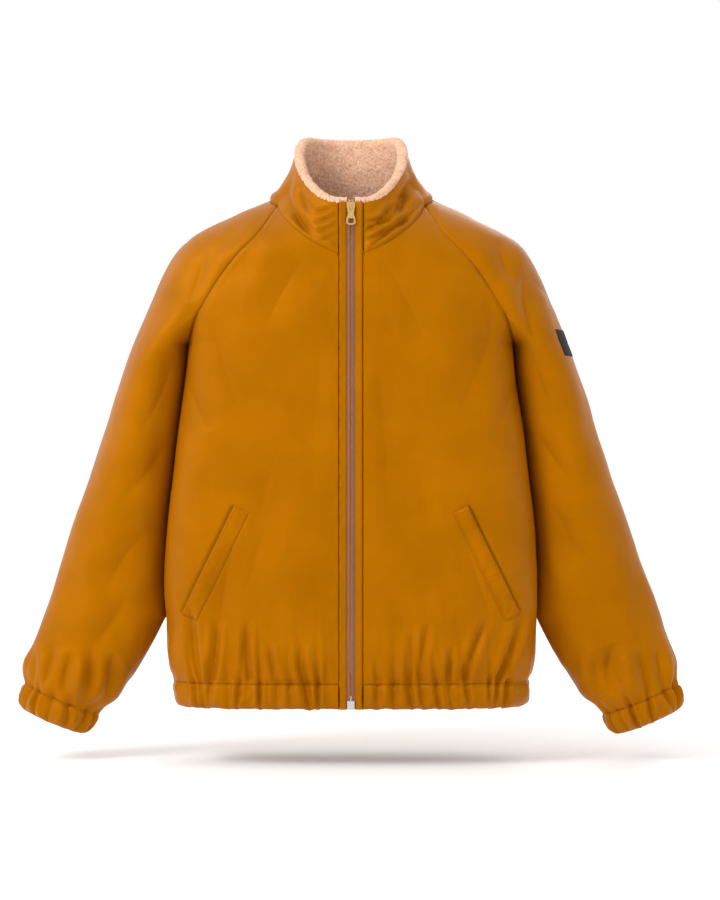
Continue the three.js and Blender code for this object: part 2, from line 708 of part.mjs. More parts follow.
/** A section carried all the way round the hem, from one side of the zip to the other. */
function hemSweep(section) {
  const halfWay = spread(levelCurve(angleAt(FRONT_EDGE_X, HEM_Z, false), Math.PI / 2, HEM_Z, 0), 22);
  const angles = halfWay.map((p) => angleAt(p.x, HEM_Z, p.y > 0));
  const places = [
    ...angles.map((angle) => [angle, 1]),
    ...angles.slice(0, -1).reverse().map((angle) => [angle, -1]),
  ];
  return sweep(places.map(([angle, side]) => section.map(([depth, height]) => {
    const p = bodyPoint(angle, HEM_Z + height, depth);
    return new THREE.Vector3(side * p.x, p.y, p.z);
  })), false);
}

const sleeveEndOuter = new THREE.Vector3(SLEEVE_OUTER_END[0], 0, SLEEVE_OUTER_END[1]);
const sleeveEndInner = new THREE.Vector3(SLEEVE_INNER_END_X, 0, SLEEVE_INNER_END_Z);
const cuffAcross = sleeveEndOuter.clone().sub(sleeveEndInner).normalize();
const cuffDown = new THREE.Vector3(cuffAcross.z, 0, -cuffAcross.x);
const cuffCentre = sleeveEndOuter.clone().add(sleeveEndInner).multiplyScalar(0.5);

/** A section carried round the end of the sleeve. */
function cuffSweep(section) {
  const count = 18;
  return sweep(steps(count).slice(0, -1).map((t) => {
    const turn = t * 2 * Math.PI;
    return section.map(([depth, height]) => {
      const down = CUFF_LENGTH - height + SEAM_GAP;
      const narrowing = CUFF_NARROWING * down / CUFF_LENGTH;
      const across = (SLEEVE_END_WIDTH / 2 - narrowing - depth) * Math.cos(turn);
      const y = (SLEEVE_END_HALF_DEPTH - depth) * Math.sin(turn);
      return cuffCentre.clone().addScaledVector(cuffAcross, across).addScaledVector(cuffDown, down).setY(y);
    });
  }), true);
}

// ---- Zip ----------------------------------------------------------------------------

const FACE_Y = -FRONT_DEPTH;
const COIL_FRONT_Y = FACE_Y;
const COIL_BACK_Y = COIL_FRONT_Y + COIL_THICKNESS;
const TAPE_FRONT_Y = COIL_BACK_Y + ZIP_CLEARANCE;
const TAPE_BACK_Y = TAPE_FRONT_Y + TAPE_THICKNESS;
const ZIP_TOP_Z = COLLAR_FRONT_TOP - 0.5;
const ZIP_BOTTOM_Z = HEM_Z + 0.5;
const SLIDER_TOP_Z = ZIP_TOP_Z - STOP_LENGTH - ZIP_CLEARANCE;
const BOX_TOP_Z = ZIP_BOTTOM_Z + BOX_LENGTH;
const PLATE_BACK_Y = COIL_FRONT_Y - ZIP_CLEARANCE;
const PLATE_FRONT_Y = PLATE_BACK_Y - SLIDER_PLATE;
const BAIL_TOP_Z = SLIDER_TOP_Z - 1.5;
const BAIL_BOTTOM_Z = BAIL_TOP_Z - 8.4;
const PULL_PIVOT = [0, PLATE_FRONT_Y - 1.5, BAIL_TOP_Z - 3.2];

const coil = () => block(
  [COIL_HALF_GAP, COIL_FRONT_Y, BOX_TOP_Z + ZIP_CLEARANCE],
  [COIL_HALF_GAP + COIL_WIDTH, COIL_BACK_Y, ZIP_TOP_Z - STOP_LENGTH - ZIP_CLEARANCE],
);

const topStop = () => block(
  [COIL_HALF_GAP, COIL_FRONT_Y - 0.3, ZIP_TOP_Z - STOP_LENGTH],
  [COIL_HALF_GAP + COIL_WIDTH + 0.4, COIL_BACK_Y, ZIP_TOP_Z],
);

const tape = () => block(
  [COIL_HALF_GAP + 0.2, TAPE_FRONT_Y, ZIP_BOTTOM_Z],
  [COIL_HALF_GAP + 0.2 + TAPE_WIDTH, TAPE_BACK_Y, ZIP_TOP_Z],
);

/** The box holds the right-hand pin, and the left-hand pin drops into it. */
function retainerBox() {
  const back = TAPE_FRONT_Y - ZIP_CLEARANCE;
  const body = block([-BOX_HALF_WIDTH, PLATE_FRONT_Y, ZIP_BOTTOM_Z], [BOX_HALF_WIDTH, back, BOX_TOP_Z]);
  const socket = block(
    [0.2, COIL_FRONT_Y - ZIP_CLEARANCE, ZIP_BOTTOM_Z + 2],
    [COIL_HALF_GAP + COIL_WIDTH + ZIP_CLEARANCE, back + 1, BOX_TOP_Z + 1],
  );
  return cutBy(body, socket);
}

const insertionPin = () => block(
  [COIL_HALF_GAP, COIL_FRONT_Y, ZIP_BOTTOM_Z + 2 + ZIP_CLEARANCE],
  [COIL_HALF_GAP + COIL_WIDTH, COIL_BACK_Y, BOX_TOP_Z],
);

/** Two plates joined by a post that runs between the coils, with an arch in front for the pull. */
function sliderBody() {
  const bottom = SLIDER_TOP_Z - SLIDER_LENGTH;
  const plateBackY = TAPE_BACK_Y + ZIP_CLEARANCE;
  const post = COIL_HALF_GAP - ZIP_CLEARANCE;
  const tip = SLIDER_LENGTH * 0.45;
  const outline = new THREE.Shape();
  outline.moveTo(-SLIDER_HALF_WIDTH, 0);
  outline.lineTo(SLIDER_HALF_WIDTH, 0);
  outline.lineTo(SLIDER_HALF_WIDTH, -tip);
  outline.lineTo(SLIDER_HALF_WIDTH * 0.72, -SLIDER_LENGTH);
  outline.lineTo(-SLIDER_HALF_WIDTH * 0.72, -SLIDER_LENGTH);
  outline.lineTo(-SLIDER_HALF_WIDTH, -tip);
  outline.closePath();
  const plate = (y) => new THREE.ExtrudeGeometry(outline, { depth: SLIDER_PLATE, bevelEnabled: false })
    .rotateX(Math.PI / 2).translate(0, y + SLIDER_PLATE, SLIDER_TOP_Z);
  const bar = BAIL_WIDTH / 2;
  const arch = block(
    [-bar, PLATE_FRONT_Y - BAIL_HEIGHT, BAIL_BOTTOM_Z],
    [bar, PLATE_FRONT_Y + 0.3, BAIL_TOP_Z],
  );
  const hollow = block(
    [-bar - 1, PLATE_FRONT_Y - BAIL_HEIGHT + BAIL_BAR, BAIL_BOTTOM_Z + BAIL_BAR],
    [bar + 1, PLATE_FRONT_Y, BAIL_TOP_Z - BAIL_BAR],
  );
  return joined(
    plate(PLATE_FRONT_Y),
    plate(plateBackY),
    block([-post, PLATE_FRONT_Y, bottom + 1], [post, plateBackY + SLIDER_PLATE, SLIDER_TOP_Z]),
    cutBy(arch, hollow),
  );
}

/** A waisted tab: its crossbar lies under the slider's arch, and its wide end has a rounded hole. */
function pullTab() {
  const top = PULL_CROSSBAR / 2;
  const slotEnd = -top - PULL_SLOT_LENGTH;
  const end = top - PULL_LENGTH;
  const holeTop = end + PULL_END_WALL + PULL_HOLE_LENGTH;
  const outline = new THREE.Shape();
  outline.moveTo(-PULL_TOP_HALF_WIDTH + 1, top);
  outline.lineTo(PULL_TOP_HALF_WIDTH - 1, top);
  outline.quadraticCurveTo(PULL_TOP_HALF_WIDTH, top, PULL_TOP_HALF_WIDTH, top - 1);
  outline.lineTo(PULL_TOP_HALF_WIDTH, slotEnd);
  outline.quadraticCurveTo(PULL_WAIST_HALF_WIDTH, slotEnd - 4, PULL_WAIST_HALF_WIDTH + 0.4, slotEnd - 6);
  outline.quadraticCurveTo(PULL_END_HALF_WIDTH, holeTop, PULL_END_HALF_WIDTH, end + 4);
  outline.quadraticCurveTo(PULL_END_HALF_WIDTH, end, 0, end);
  outline.quadraticCurveTo(-PULL_END_HALF_WIDTH, end, -PULL_END_HALF_WIDTH, end + 4);
  outline.quadraticCurveTo(-PULL_END_HALF_WIDTH, holeTop, -PULL_WAIST_HALF_WIDTH - 0.4, slotEnd - 6);
  outline.quadraticCurveTo(-PULL_WAIST_HALF_WIDTH, slotEnd - 4, -PULL_TOP_HALF_WIDTH, slotEnd);
  outline.lineTo(-PULL_TOP_HALF_WIDTH, top - 1);
  outline.quadraticCurveTo(-PULL_TOP_HALF_WIDTH, top, -PULL_TOP_HALF_WIDTH + 1, top);
  outline.holes.push(
    roundedHole(PULL_SLOT_HALF_WIDTH, -top, slotEnd, 0.5),
    roundedHole(PULL_HOLE_HALF_WIDTH, holeTop, holeTop - PULL_HOLE_LENGTH, 1.6),
  );
  const settings = { depth: PULL_THICKNESS, bevelEnabled: false, curveSegments: 5 };
  return new THREE.ExtrudeGeometry(outline, settings)
    .rotateX(Math.PI / 2).translate(0, PULL_PIVOT[1] + PULL_THICKNESS / 2, PULL_PIVOT[2]);
}

/** A hole with rounded corners, wound the other way round from the outline it is cut in. */
function roundedHole(half, top, bottom, radius) {
  const hole = new THREE.Path();
  hole.moveTo(-half + radius, top);
  hole.quadraticCurveTo(-half, top, -half, top - radius);
  hole.lineTo(-half, bottom + radius);
  hole.quadraticCurveTo(-half, bottom, -half + radius, bottom);
  hole.lineTo(half - radius, bottom);
  hole.quadraticCurveTo(half, bottom, half, bottom + radius);
  hole.lineTo(half, top - radius);
  hole.quadraticCurveTo(half, top, half - radius, top);
  hole.closePath();
  return hole;
}

const placket = () => block(
  [ZIP_HALF_OPENING, FACE_Y, HEM_Z],
  [ZIP_HALF_OPENING + PLACKET_WIDTH, FACE_Y + SHELL, COLLAR_FRONT_TOP],
);

// ---- Pockets, labels and the hanger loop --------------------------------------------

const pocketLine = new THREE.Vector2(POCKET_BOTTOM[0] - POCKET_TOP[0], POCKET_BOTTOM[1] - POCKET_TOP[1]);
const pocketAcross = new THREE.Vector2(-pocketLine.y, pocketLine.x).setLength(1);
const besidePocket = ([x, z], across) => [x + pocketAcross.x * across, z + pocketAcross.y * across];

const weltEdge = (across) => [besidePocket(POCKET_TOP, across), besidePocket(POCKET_BOTTOM, across)];

const pocketWelt = () => thicken(
  frontPatch(weltEdge(-WELT_WIDTH / 2), weltEdge(WELT_WIDTH / 2), 8, 3, -PATCH_CLEARANCE),
  -SHELL,
  0,
);

/** The slit under the welt's outer edge, through which a hand reaches the bag. */
function pocketSlit() {
  const along = [POCKET_TOP, POCKET_BOTTOM].map((end) => besidePocket(end, WELT_WIDTH / 2 - 4));
  const [top, bottom] = along;
  const length = pocketLine.length() - 10;
  const angle = Math.atan2(bottom[0] - top[0], top[1] - bottom[1]);
  return new THREE.BoxGeometry(POCKET_SLIT, FRONT_DEPTH, length)
    .rotateY(-angle)
    .translate((top[0] + bottom[0]) / 2, -FRONT_DEPTH, (top[1] + bottom[1]) / 2);
}

function pocketBag() {
  const outer = weltEdge(WELT_WIDTH / 2);
  const inner = outer.map(([x, z], i) => [x - POCKET_BAG_REACH, z - POCKET_BAG_DROP * (0.6 + 0.2 * i)]);
  return thicken(frontPatch(inner, outer, 6, 9, SHELL + 2 * PATCH_CLEARANCE), 0, BAG_THICKNESS);
}

function sleeveLabel() {
  const rows = steps(4).map((t) => {
    const z = SLEEVE_LABEL_TOP - SLEEVE_LABEL_LENGTH * t;
    const down = (z - UNDERARM_Z) / (SLEEVE_OUTER_END[1] - UNDERARM_Z);
    return steps(6).map((s) => {
      const turn = mix(-SLEEVE_LABEL_HALF_ANGLE, SLEEVE_LABEL_HALF_ANGLE, s);
      if (z > UNDERARM_Z) return shoulderPoint(turn, z, -PATCH_CLEARANCE);
      return sleevePoint(turn, down, -PATCH_CLEARANCE);
    });
  });
  return thicken(surfaceOf([rows]), -LABEL_THICKNESS, 0);
}

const LINING_INNER = LINING_SET_IN + LINING;

function neckLabel() {
  const rows = steps(3).map((t) => {
    const z = NECK_LABEL_TOP - NECK_LABEL_HEIGHT * t;
    return steps(4).map((s) => {
      const x = mix(NECK_LABEL_HALF_WIDTH, -NECK_LABEL_HALF_WIDTH, s);
      const p = bodyPoint(angleAt(Math.abs(x), z, true), z, LINING_INNER + NECK_SLOPE_ALLOWANCE);
      return p.setX(x);
    });
  });
  return thicken(surfaceOf([rows]), 0, LABEL_THICKNESS);
}

/** Depth of the lining's inner face behind the hanger loop. */
const loopWallY = (x) => (
  bodyPoint(angleAt(Math.abs(x), LOOP_Z, true), LOOP_Z, LINING_INNER + 2 * NECK_SLOPE_ALLOWANCE).y
);

function hangerLoop() {
  const half = LOOP_HEIGHT / 2;
  const thick = LOOP_THICKNESS;
  return sweep(steps(14).map((t) => {
    const x = mix(LOOP_HALF_LENGTH, -LOOP_HALF_LENGTH, t);
    const y = loopWallY(x) - LOOP_REACH * Math.cos((Math.PI / 2) * (x / LOOP_HALF_LENGTH)) - thick;
    return [
      [x, y + thick, LOOP_Z + half], [x, y + thick, LOOP_Z - half],
      [x, y, LOOP_Z - half], [x, y, LOOP_Z + half],
    ].map((p) => new THREE.Vector3(...p));
  }), false);
}

// ---- The assembly -------------------------------------------------------------------

const jacket = new THREE.Group();
const coat = new THREE.Group();
coat.position.set(0, LOOP_REACH - loopWallY(0) + LOOP_THICKNESS / 2, -LOOP_Z);
jacket.add(coat);

function add(name, geometry, material) {
  geometry.deleteAttribute('normal');
  geometry.deleteAttribute('uv');
  const closed = mergeVertices(geometry, 1e-4);
  const corners = Array.from(closed.getIndex().array);
  const isFace = (i) => {
    const [a, b, c] = corners.slice(i - (i % 3), i - (i % 3) + 3);
    return a !== b && b !== c && c !== a;
  };
  closed.setIndex(corners.filter((_, i) => isFace(i)));
  closed.computeVertexNormals();
  const mesh = new THREE.Mesh(closed, material);
  mesh.name = name;
  coat.add(mesh);
}

function addPair(name, geometry, material) {
  const other = mirrored(geometry);
  add(`${name}_left`, geometry, material);
  add(`${name}_right`, other, material.clone());
}

const panelBottom = HEM_SEAM_Z + SEAM_GAP;
const shellFront = frontPanelSurface({
  columns: 10, upper: 6, lower: 7, inset: 0, gap: SEAM_GAP, edgeX: FRONT_EDGE_X, bottom: panelBottom,
});
addPair('front_panel', cutBy(thicken(shellFront, 0, SHELL), pocketSlit()), cloth(OCHRE));
add('back_panel', thicken(backPanelSurface({
  columns: 18, upper: 5, lower: 7, inset: 0, gap: SEAM_GAP, bottom: panelBottom,
}), 0, SHELL), cloth(OCHRE));

const sleeveShell = (part) => thicken(sleeveSurface({
  part,
  seamTurn: SLEEVE_SEAM_TURN,
  around: 20,
  shoulderRows: 7,
  tubeRows: 9,
  inset: 0,
  gap: SEAM_GAP,
  rootGap: SEAM_GAP,
  endGap: SEAM_GAP,
}), 0, SHELL);
addPair('sleeve_front', sleeveShell(SLEEVE_FRONT), cloth(OCHRE));
addPair('sleeve_back', sleeveShell(SLEEVE_BACK), cloth(OCHRE));

const liningEdgeX = ZIP_HALF_OPENING + PLACKET_WIDTH + LINING_SEAM_GAP;
const liningBottom = HEM_SEAM_Z + LINING_SEAM_GAP;
addPair('front_lining', thicken(frontPanelSurface({
  columns: 8,
  upper: 4,
  lower: 5,
  inset: LINING_SET_IN,
  gap: LINING_SEAM_GAP,
  edgeX: liningEdgeX,
  bottom: liningBottom,
}), 0, LINING), cloth(FLEECE));
add('back_lining', thicken(backPanelSurface({
  columns: 14, upper: 4, lower: 5, inset: LINING_SET_IN, gap: LINING_SEAM_GAP, bottom: liningBottom,
}), 0, LINING), cloth(FLEECE));
addPair('sleeve_lining', thicken(sleeveSurface({
  part: WHOLE_SLEEVE,
  seamTurn: 0,
  around: 16,
  shoulderRows: 5,
  tubeRows: 6,
  inset: LINING_SET_IN + SLEEVE_LINING_EASE,
  gap: LINING_SEAM_GAP,
  rootGap: LINING_SET_IN,
  endGap: LINING_SEAM_GAP,
}), 0, LINING), cloth(FLEECE));

add('collar_shell', thicken(
  collarSurface({ columns: 13, rows: 3, lift: COLLAR_SHELL_LIFT, drop: 0 }),
  0,
  SHELL,
), cloth(OCHRE));
add('collar_lining', thicken(
  collarSurface({ columns: 13, rows: 3, lift: COLLAR_LINING_LIFT, drop: 1 }),
  LINING_SET_IN,
  LINING_INNER,
), cloth(FLEECE));

add('hem_band', hemSweep(bandSection(HEM_BAND_HEIGHT - SEAM_GAP)), cloth(OCHRE));
add('hem_elastic', hemSweep(elasticSection(HEM_BAND_HEIGHT - SEAM_GAP)), cloth(WEBBING));
addPair('cuff', cuffSweep(bandSection(CUFF_LENGTH)), cloth(OCHRE));
addPair('cuff_elastic', cuffSweep(elasticSection(CUFF_LENGTH)), cloth(WEBBING));

addPair('placket', placket(), cloth(OCHRE));
addPair('zip_tape', tape(), cloth(TAPE));
addPair('zip_coil', coil(), cloth(TAPE));
addPair('top_stop', topStop(), metal(GOLD));
add('retainer_box', retainerBox(), metal(SILVER));
add('insertion_pin', insertionPin(), metal(SILVER));
add('slider_body', sliderBody(), metal(GOLD));
add('pull_tab', pullTab(), metal(GOLD));

addPair('pocket_welt', pocketWelt(), cloth(OCHRE));
addPair('pocket_bag', pocketBag(), cloth(FLEECE));
add('sleeve_label', sleeveLabel(), cloth(BLACK));
add('neck_label', neckLabel(), cloth(BLACK));
add('hanger_loop', hangerLoop(), cloth(TAPE));

export default jacket;
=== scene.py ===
"""Looks of a raglan zip-up bomber jacket with a fleece lining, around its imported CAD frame."""

import math

import bpy
import numpy as np
from mathutils.bvhtree import BVHTree
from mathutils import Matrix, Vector, noise


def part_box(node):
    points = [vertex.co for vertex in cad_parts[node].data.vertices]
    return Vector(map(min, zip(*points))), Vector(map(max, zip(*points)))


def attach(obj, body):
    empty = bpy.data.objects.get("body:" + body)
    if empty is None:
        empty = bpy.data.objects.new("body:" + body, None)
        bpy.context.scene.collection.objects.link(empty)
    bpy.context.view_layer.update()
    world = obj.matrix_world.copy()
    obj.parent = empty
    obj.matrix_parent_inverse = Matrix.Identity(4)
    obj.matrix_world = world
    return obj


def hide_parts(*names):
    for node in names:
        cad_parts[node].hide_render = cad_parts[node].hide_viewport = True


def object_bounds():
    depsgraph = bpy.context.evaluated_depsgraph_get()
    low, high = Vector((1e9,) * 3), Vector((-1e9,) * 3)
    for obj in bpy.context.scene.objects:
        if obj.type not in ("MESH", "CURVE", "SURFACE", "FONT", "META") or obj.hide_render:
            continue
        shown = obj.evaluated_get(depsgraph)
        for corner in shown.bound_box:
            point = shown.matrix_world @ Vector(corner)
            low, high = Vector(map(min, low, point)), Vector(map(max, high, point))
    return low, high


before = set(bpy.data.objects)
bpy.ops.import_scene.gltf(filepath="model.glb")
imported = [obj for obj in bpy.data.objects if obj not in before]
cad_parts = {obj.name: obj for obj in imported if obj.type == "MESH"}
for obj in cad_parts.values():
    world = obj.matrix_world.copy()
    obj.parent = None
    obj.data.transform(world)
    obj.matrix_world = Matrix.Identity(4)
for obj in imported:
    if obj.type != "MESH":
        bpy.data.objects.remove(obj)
CAD_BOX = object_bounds()

MM = 0.001
PI = math.pi

# ---- Places taken from the frame ------------------------------------------------------
# The jacket is drawn in millimetres, with z = 0 at the side of the neck and y = 0 halfway
# through the body. ORIGIN is where that point lies in the row frame.
FRONT_DEPTH = 105.0
BODY_LENGTH = 715.0
PLACKET_LOW, PLACKET_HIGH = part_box("placket_left")
ORIGIN = np.array([0.0, PLACKET_LOW[1] + FRONT_DEPTH * MM, PLACKET_LOW[2] + BODY_LENGTH * MM])

# ---- The jacket's sizes, in millimetres -------------------------------------------------
BACK_DEPTH = 100.0
HEM_BACK_DEPTH = 93.0
NECK_BACK_DEPTH = 62.0
NECK_SIDE_FRONT_DEPTH = 45.0
NECK_HALF_WIDTH = 113.0
UNDERARM_HALF_WIDTH = 229.0
UNDERARM_Z = -205.0
TURN_Z = -165.0
FRONT_NECK_DROP = 87.0
RAGLAN_TOP_Z = -12.0
RAGLAN_TOP_X = 103.0
BACK_RAGLAN_TOP_X = 96.0
BACK_NECK_Z = 3.0
HEM_Z = -BODY_LENGTH
BAND_HEIGHT = 35.0
HEM_SEAM_Z = HEM_Z + BAND_HEIGHT
HEM_WIDTH = 247.0
PLEAT_DEPTH = 5.2
PLACKET_EDGE = 16.5
ZIP_EDGE = 6.5
ARM_GAP = 0.4
SLEEVE_TOP_X = UNDERARM_HALF_WIDTH + ARM_GAP + 78.0
SLEEVE_END = (462.0, -688.0)
SLEEVE_INNER_END = (360.8, -731.0)
CUFF_LENGTH = 33.0
COLLAR_TOP_HALF_WIDTH = 78.0
COLLAR_TOP_BACK = 58.0
COLLAR_FRONT_TOP = -12.0
COLLAR_BACK_TOP = 81.0
LINING_INSET = 10.5


# ---- Small helpers ------------------------------------------------------------------------

def mix(a, b, t):
    return a + (b - a) * t


def smooth(t):
    t = np.clip(t, 0.0, 1.0)
    return t * t * (3 - 2 * t)


def through(knots):
    """A smooth function of one number through (input, output) knots."""
    xs, ys = (np.array(v, float) for v in zip(*sorted(knots)))
    left = np.maximum(np.arange(len(xs)) - 1, 0)
    right = np.minimum(np.arange(len(xs)) + 1, len(xs) - 1)
    slopes = (ys[right] - ys[left]) / (xs[right] - xs[left])

    def at(value):
        value = np.clip(value, xs[0], xs[-1])
        i = np.clip(np.searchsorted(xs, value) - 1, 0, len(xs) - 2)
        span = xs[i + 1] - xs[i]
        t = (value - xs[i]) / span
        rise = ys[i + 1] - ys[i]
        a, b = slopes[i] * span, slopes[i + 1] * span
        return ys[i] + t * a + t * t * (3 * rise - 2 * a - b) + t**3 * (a + b - 2 * rise)

    return at


def respaced(line, count):
    """count points spread evenly along a line of points."""
    reach = np.concatenate([[0], np.cumsum(np.linalg.norm(np.diff(line, axis=0), axis=1))])
    wanted = np.linspace(0, reach[-1], count)
    return np.stack([np.interp(wanted, reach, line[:, k]) for k in range(3)], axis=1)


def points3(x, y, z):
    x, y, z = np.broadcast_arrays(x, y, z)
    return np.stack([x, y, z], axis=-1).astype(float)


# ---- The jacket's outline -----------------------------------------------------------------

torso_half_width = through([
    (-715, 246), (-705, 248), (-680, 251), (-668, 255), (-640, 259.5), (-600, 261), (-540, 263),
    (-483, 261), (-430, 256), (-398, 252), (-350, 246), (-307, 240), (-250, 233), (-205, 229),
])

shoulder_share = through([
    (0, 0), (0.03, 0.07), (0.127, 0.29), (0.249, 0.55), (0.337, 0.66),
    (0.478, 0.77), (0.678, 0.865), (0.873, 0.949), (1, 1),
])


def shoulder_edge(z):
    z = np.asarray(z, float)
    down = mix(NECK_HALF_WIDTH, SLEEVE_TOP_X, shoulder_share(-z / -UNDERARM_Z))
    return np.where(z > 0, NECK_HALF_WIDTH - 0.3 * z, down)


def shoulder_to_body(z):
    return smooth((-95.0 - z) / 110.0)


def body_half_width(z):
    above = mix(shoulder_edge(z), UNDERARM_HALF_WIDTH + 0.089 * (UNDERARM_Z - z), shoulder_to_body(z))
    return np.where(z <= UNDERARM_Z, torso_half_width(z), above)


def squareness(z):
    return mix(2.2, 4.0, shoulder_to_body(z))


def front_depth(z):
    return mix(FRONT_DEPTH, NECK_SIDE_FRONT_DEPTH, np.clip(z / FRONT_NECK_DROP + 1, 0, 1) ** 2)


def back_depth(z):
    upper = mix(BACK_DEPTH, NECK_BACK_DEPTH, np.clip((z + 150) / 150, 0, 1.1) ** 2)
    lower = mix(BACK_DEPTH, HEM_BACK_DEPTH, smooth((z + 400) / (HEM_Z + 400)))
    return np.where(z > -150, upper, lower)


def body_point(angle, z, inset=0.0):
    """A point of the body: angle -PI/2 is the centre front, 0 the side, PI/2 the centre back."""
    z = np.asarray(z, float)
    power = 2 / squareness(z)
    depth = np.where(np.asarray(angle) < 0, front_depth(z), back_depth(z))
    x = (body_half_width(z) - inset) * np.maximum(np.cos(angle), 0) ** power
    y = (depth - inset) * np.sign(angle) * np.abs(np.sin(angle)) ** power
    return points3(x, y, z)


def angle_at(x, z, back):
    share = np.clip(x / body_half_width(z), 0, 1) ** (squareness(z) / 2)
    return np.arccos(share) * (1 if back else -1)


front_raglan = through([(-165, 213), (-115, 183), (-81, 156), (-53, 129), (-12, 103)])
back_raglan = through([(-165, 213), (-82, 160), (3, 96)])


def armhole_angle(z, back):
    z = np.asarray(z, float)
    upper = angle_at((back_raglan if back else front_raglan)(z), z, back)
    turn = float(angle_at(213.0, TURN_Z, back))
    lower = turn * np.clip((z - UNDERARM_Z) / (TURN_Z - UNDERARM_Z), 0, 1) ** 0.6
    return np.where(z >= TURN_Z, upper, lower)


def neck_x(z):
    share = np.clip((RAGLAN_TOP_Z - z) / (FRONT_NECK_DROP + RAGLAN_TOP_Z), 0, 1)
    return RAGLAN_TOP_X * (1 - share**1.5) ** (1 / 1.5)


# ---- Sleeve sections ----------------------------------------------------------------------

sleeve_outer_x = through([
    (-688, 462), (-672, 461.5), (-655, 458.5), (-622, 449), (-500, 408), (-398, 373.5), (-294, 338), (-205, 310),
])
sleeve_free_x = through([
    (-731, 360.8), (-718, 349), (-706, 336), (-690, 322), (-660, 299), (-628, 280), (-594, 264),
])


def sleeve_inner_x(z):
    return np.where(z < -594, sleeve_free_x(z), torso_half_width(z) + ARM_GAP)


def sleeve_half_depth(down):
    return mix(80.0, 40.0, 0.5 * smooth(down) + 0.5 * down)


def sleeve_back_set(down):
    return 6.0 * smooth(down * 4) * (1 - smooth(down))


def shoulder_section(z, back):
    """(turn, half-width, centre, half-depth) of the sleeve's ellipse above the armhole's bottom."""
    z = np.asarray(z, float)
    seam = body_point(armhole_angle(z, back), z)
    outer, reach = shoulder_edge(z), np.abs(seam[..., 1])
    turn_reach = float(np.abs(body_point(armhole_angle(TURN_Z, back), TURN_Z))[1])
    share = np.clip((TURN_Z - z) / (TURN_Z - UNDERARM_Z), 0, 1)
    low_depth = mix(turn_reach, 80.0, share)
    low_turn = PI - np.arcsin(np.minimum(1, reach / low_depth))
    high_turn = mix(1.2, PI / 2, smooth(z / TURN_Z))
    above = z >= TURN_Z
    turn = np.where(above, high_turn, low_turn)
    depth = np.where(above, reach / np.sin(high_turn), low_depth)
    half = (outer - seam[..., 0] - ARM_GAP * share) / (1 - np.cos(turn))
    return turn, half, outer - half, depth


def shoulder_point(turn, z, inset=0.0):
    turn, z = np.broadcast_arrays(np.asarray(turn, float), np.asarray(z, float))
    front, back = shoulder_section(z, False), shoulder_section(z, True)
    _, half, centre, depth = (np.where(turn > 0, b, f) for f, b in zip(front, back))
    return points3(centre + (half - inset) * np.cos(turn), (depth - inset) * np.sin(turn), z)


def sleeve_point(turn, down, inset=0.0):
    turn, down = np.broadcast_arrays(np.asarray(turn, float), np.asarray(down, float))
    outer_z = mix(UNDERARM_Z, SLEEVE_END[1], down)
    inner_z = mix(UNDERARM_Z, SLEEVE_INNER_END[1], down)
    outer = np.stack([sleeve_outer_x(outer_z), outer_z])
    inner = np.stack([sleeve_inner_x(inner_z), inner_z])
    middle, half = (outer + inner) / 2, (outer - inner) / 2
    length = np.linalg.norm(half, axis=0)
    half = half * (length - inset) / length
    y = sleeve_back_set(down) + (sleeve_half_depth(down) - inset) * np.sin(turn)
    return points3(middle[0] + half[0] * np.cos(turn), y, middle[1] + half[1] * np.cos(turn))


def armhole_height(turn):
    """Height at which the armhole's edge crosses a turn of the sleeve."""
    if abs(turn) <= PI / 2:
        return TURN_Z
    low, high = UNDERARM_Z, TURN_Z
    for _ in range(24):
        middle = (low + high) / 2
        if float(shoulder_section(middle, turn > 0)[0]) > abs(turn):
            low = middle
        else:
            high = middle
    return (low + high) / 2


# ---- Meshes -------------------------------------------------------------------------------

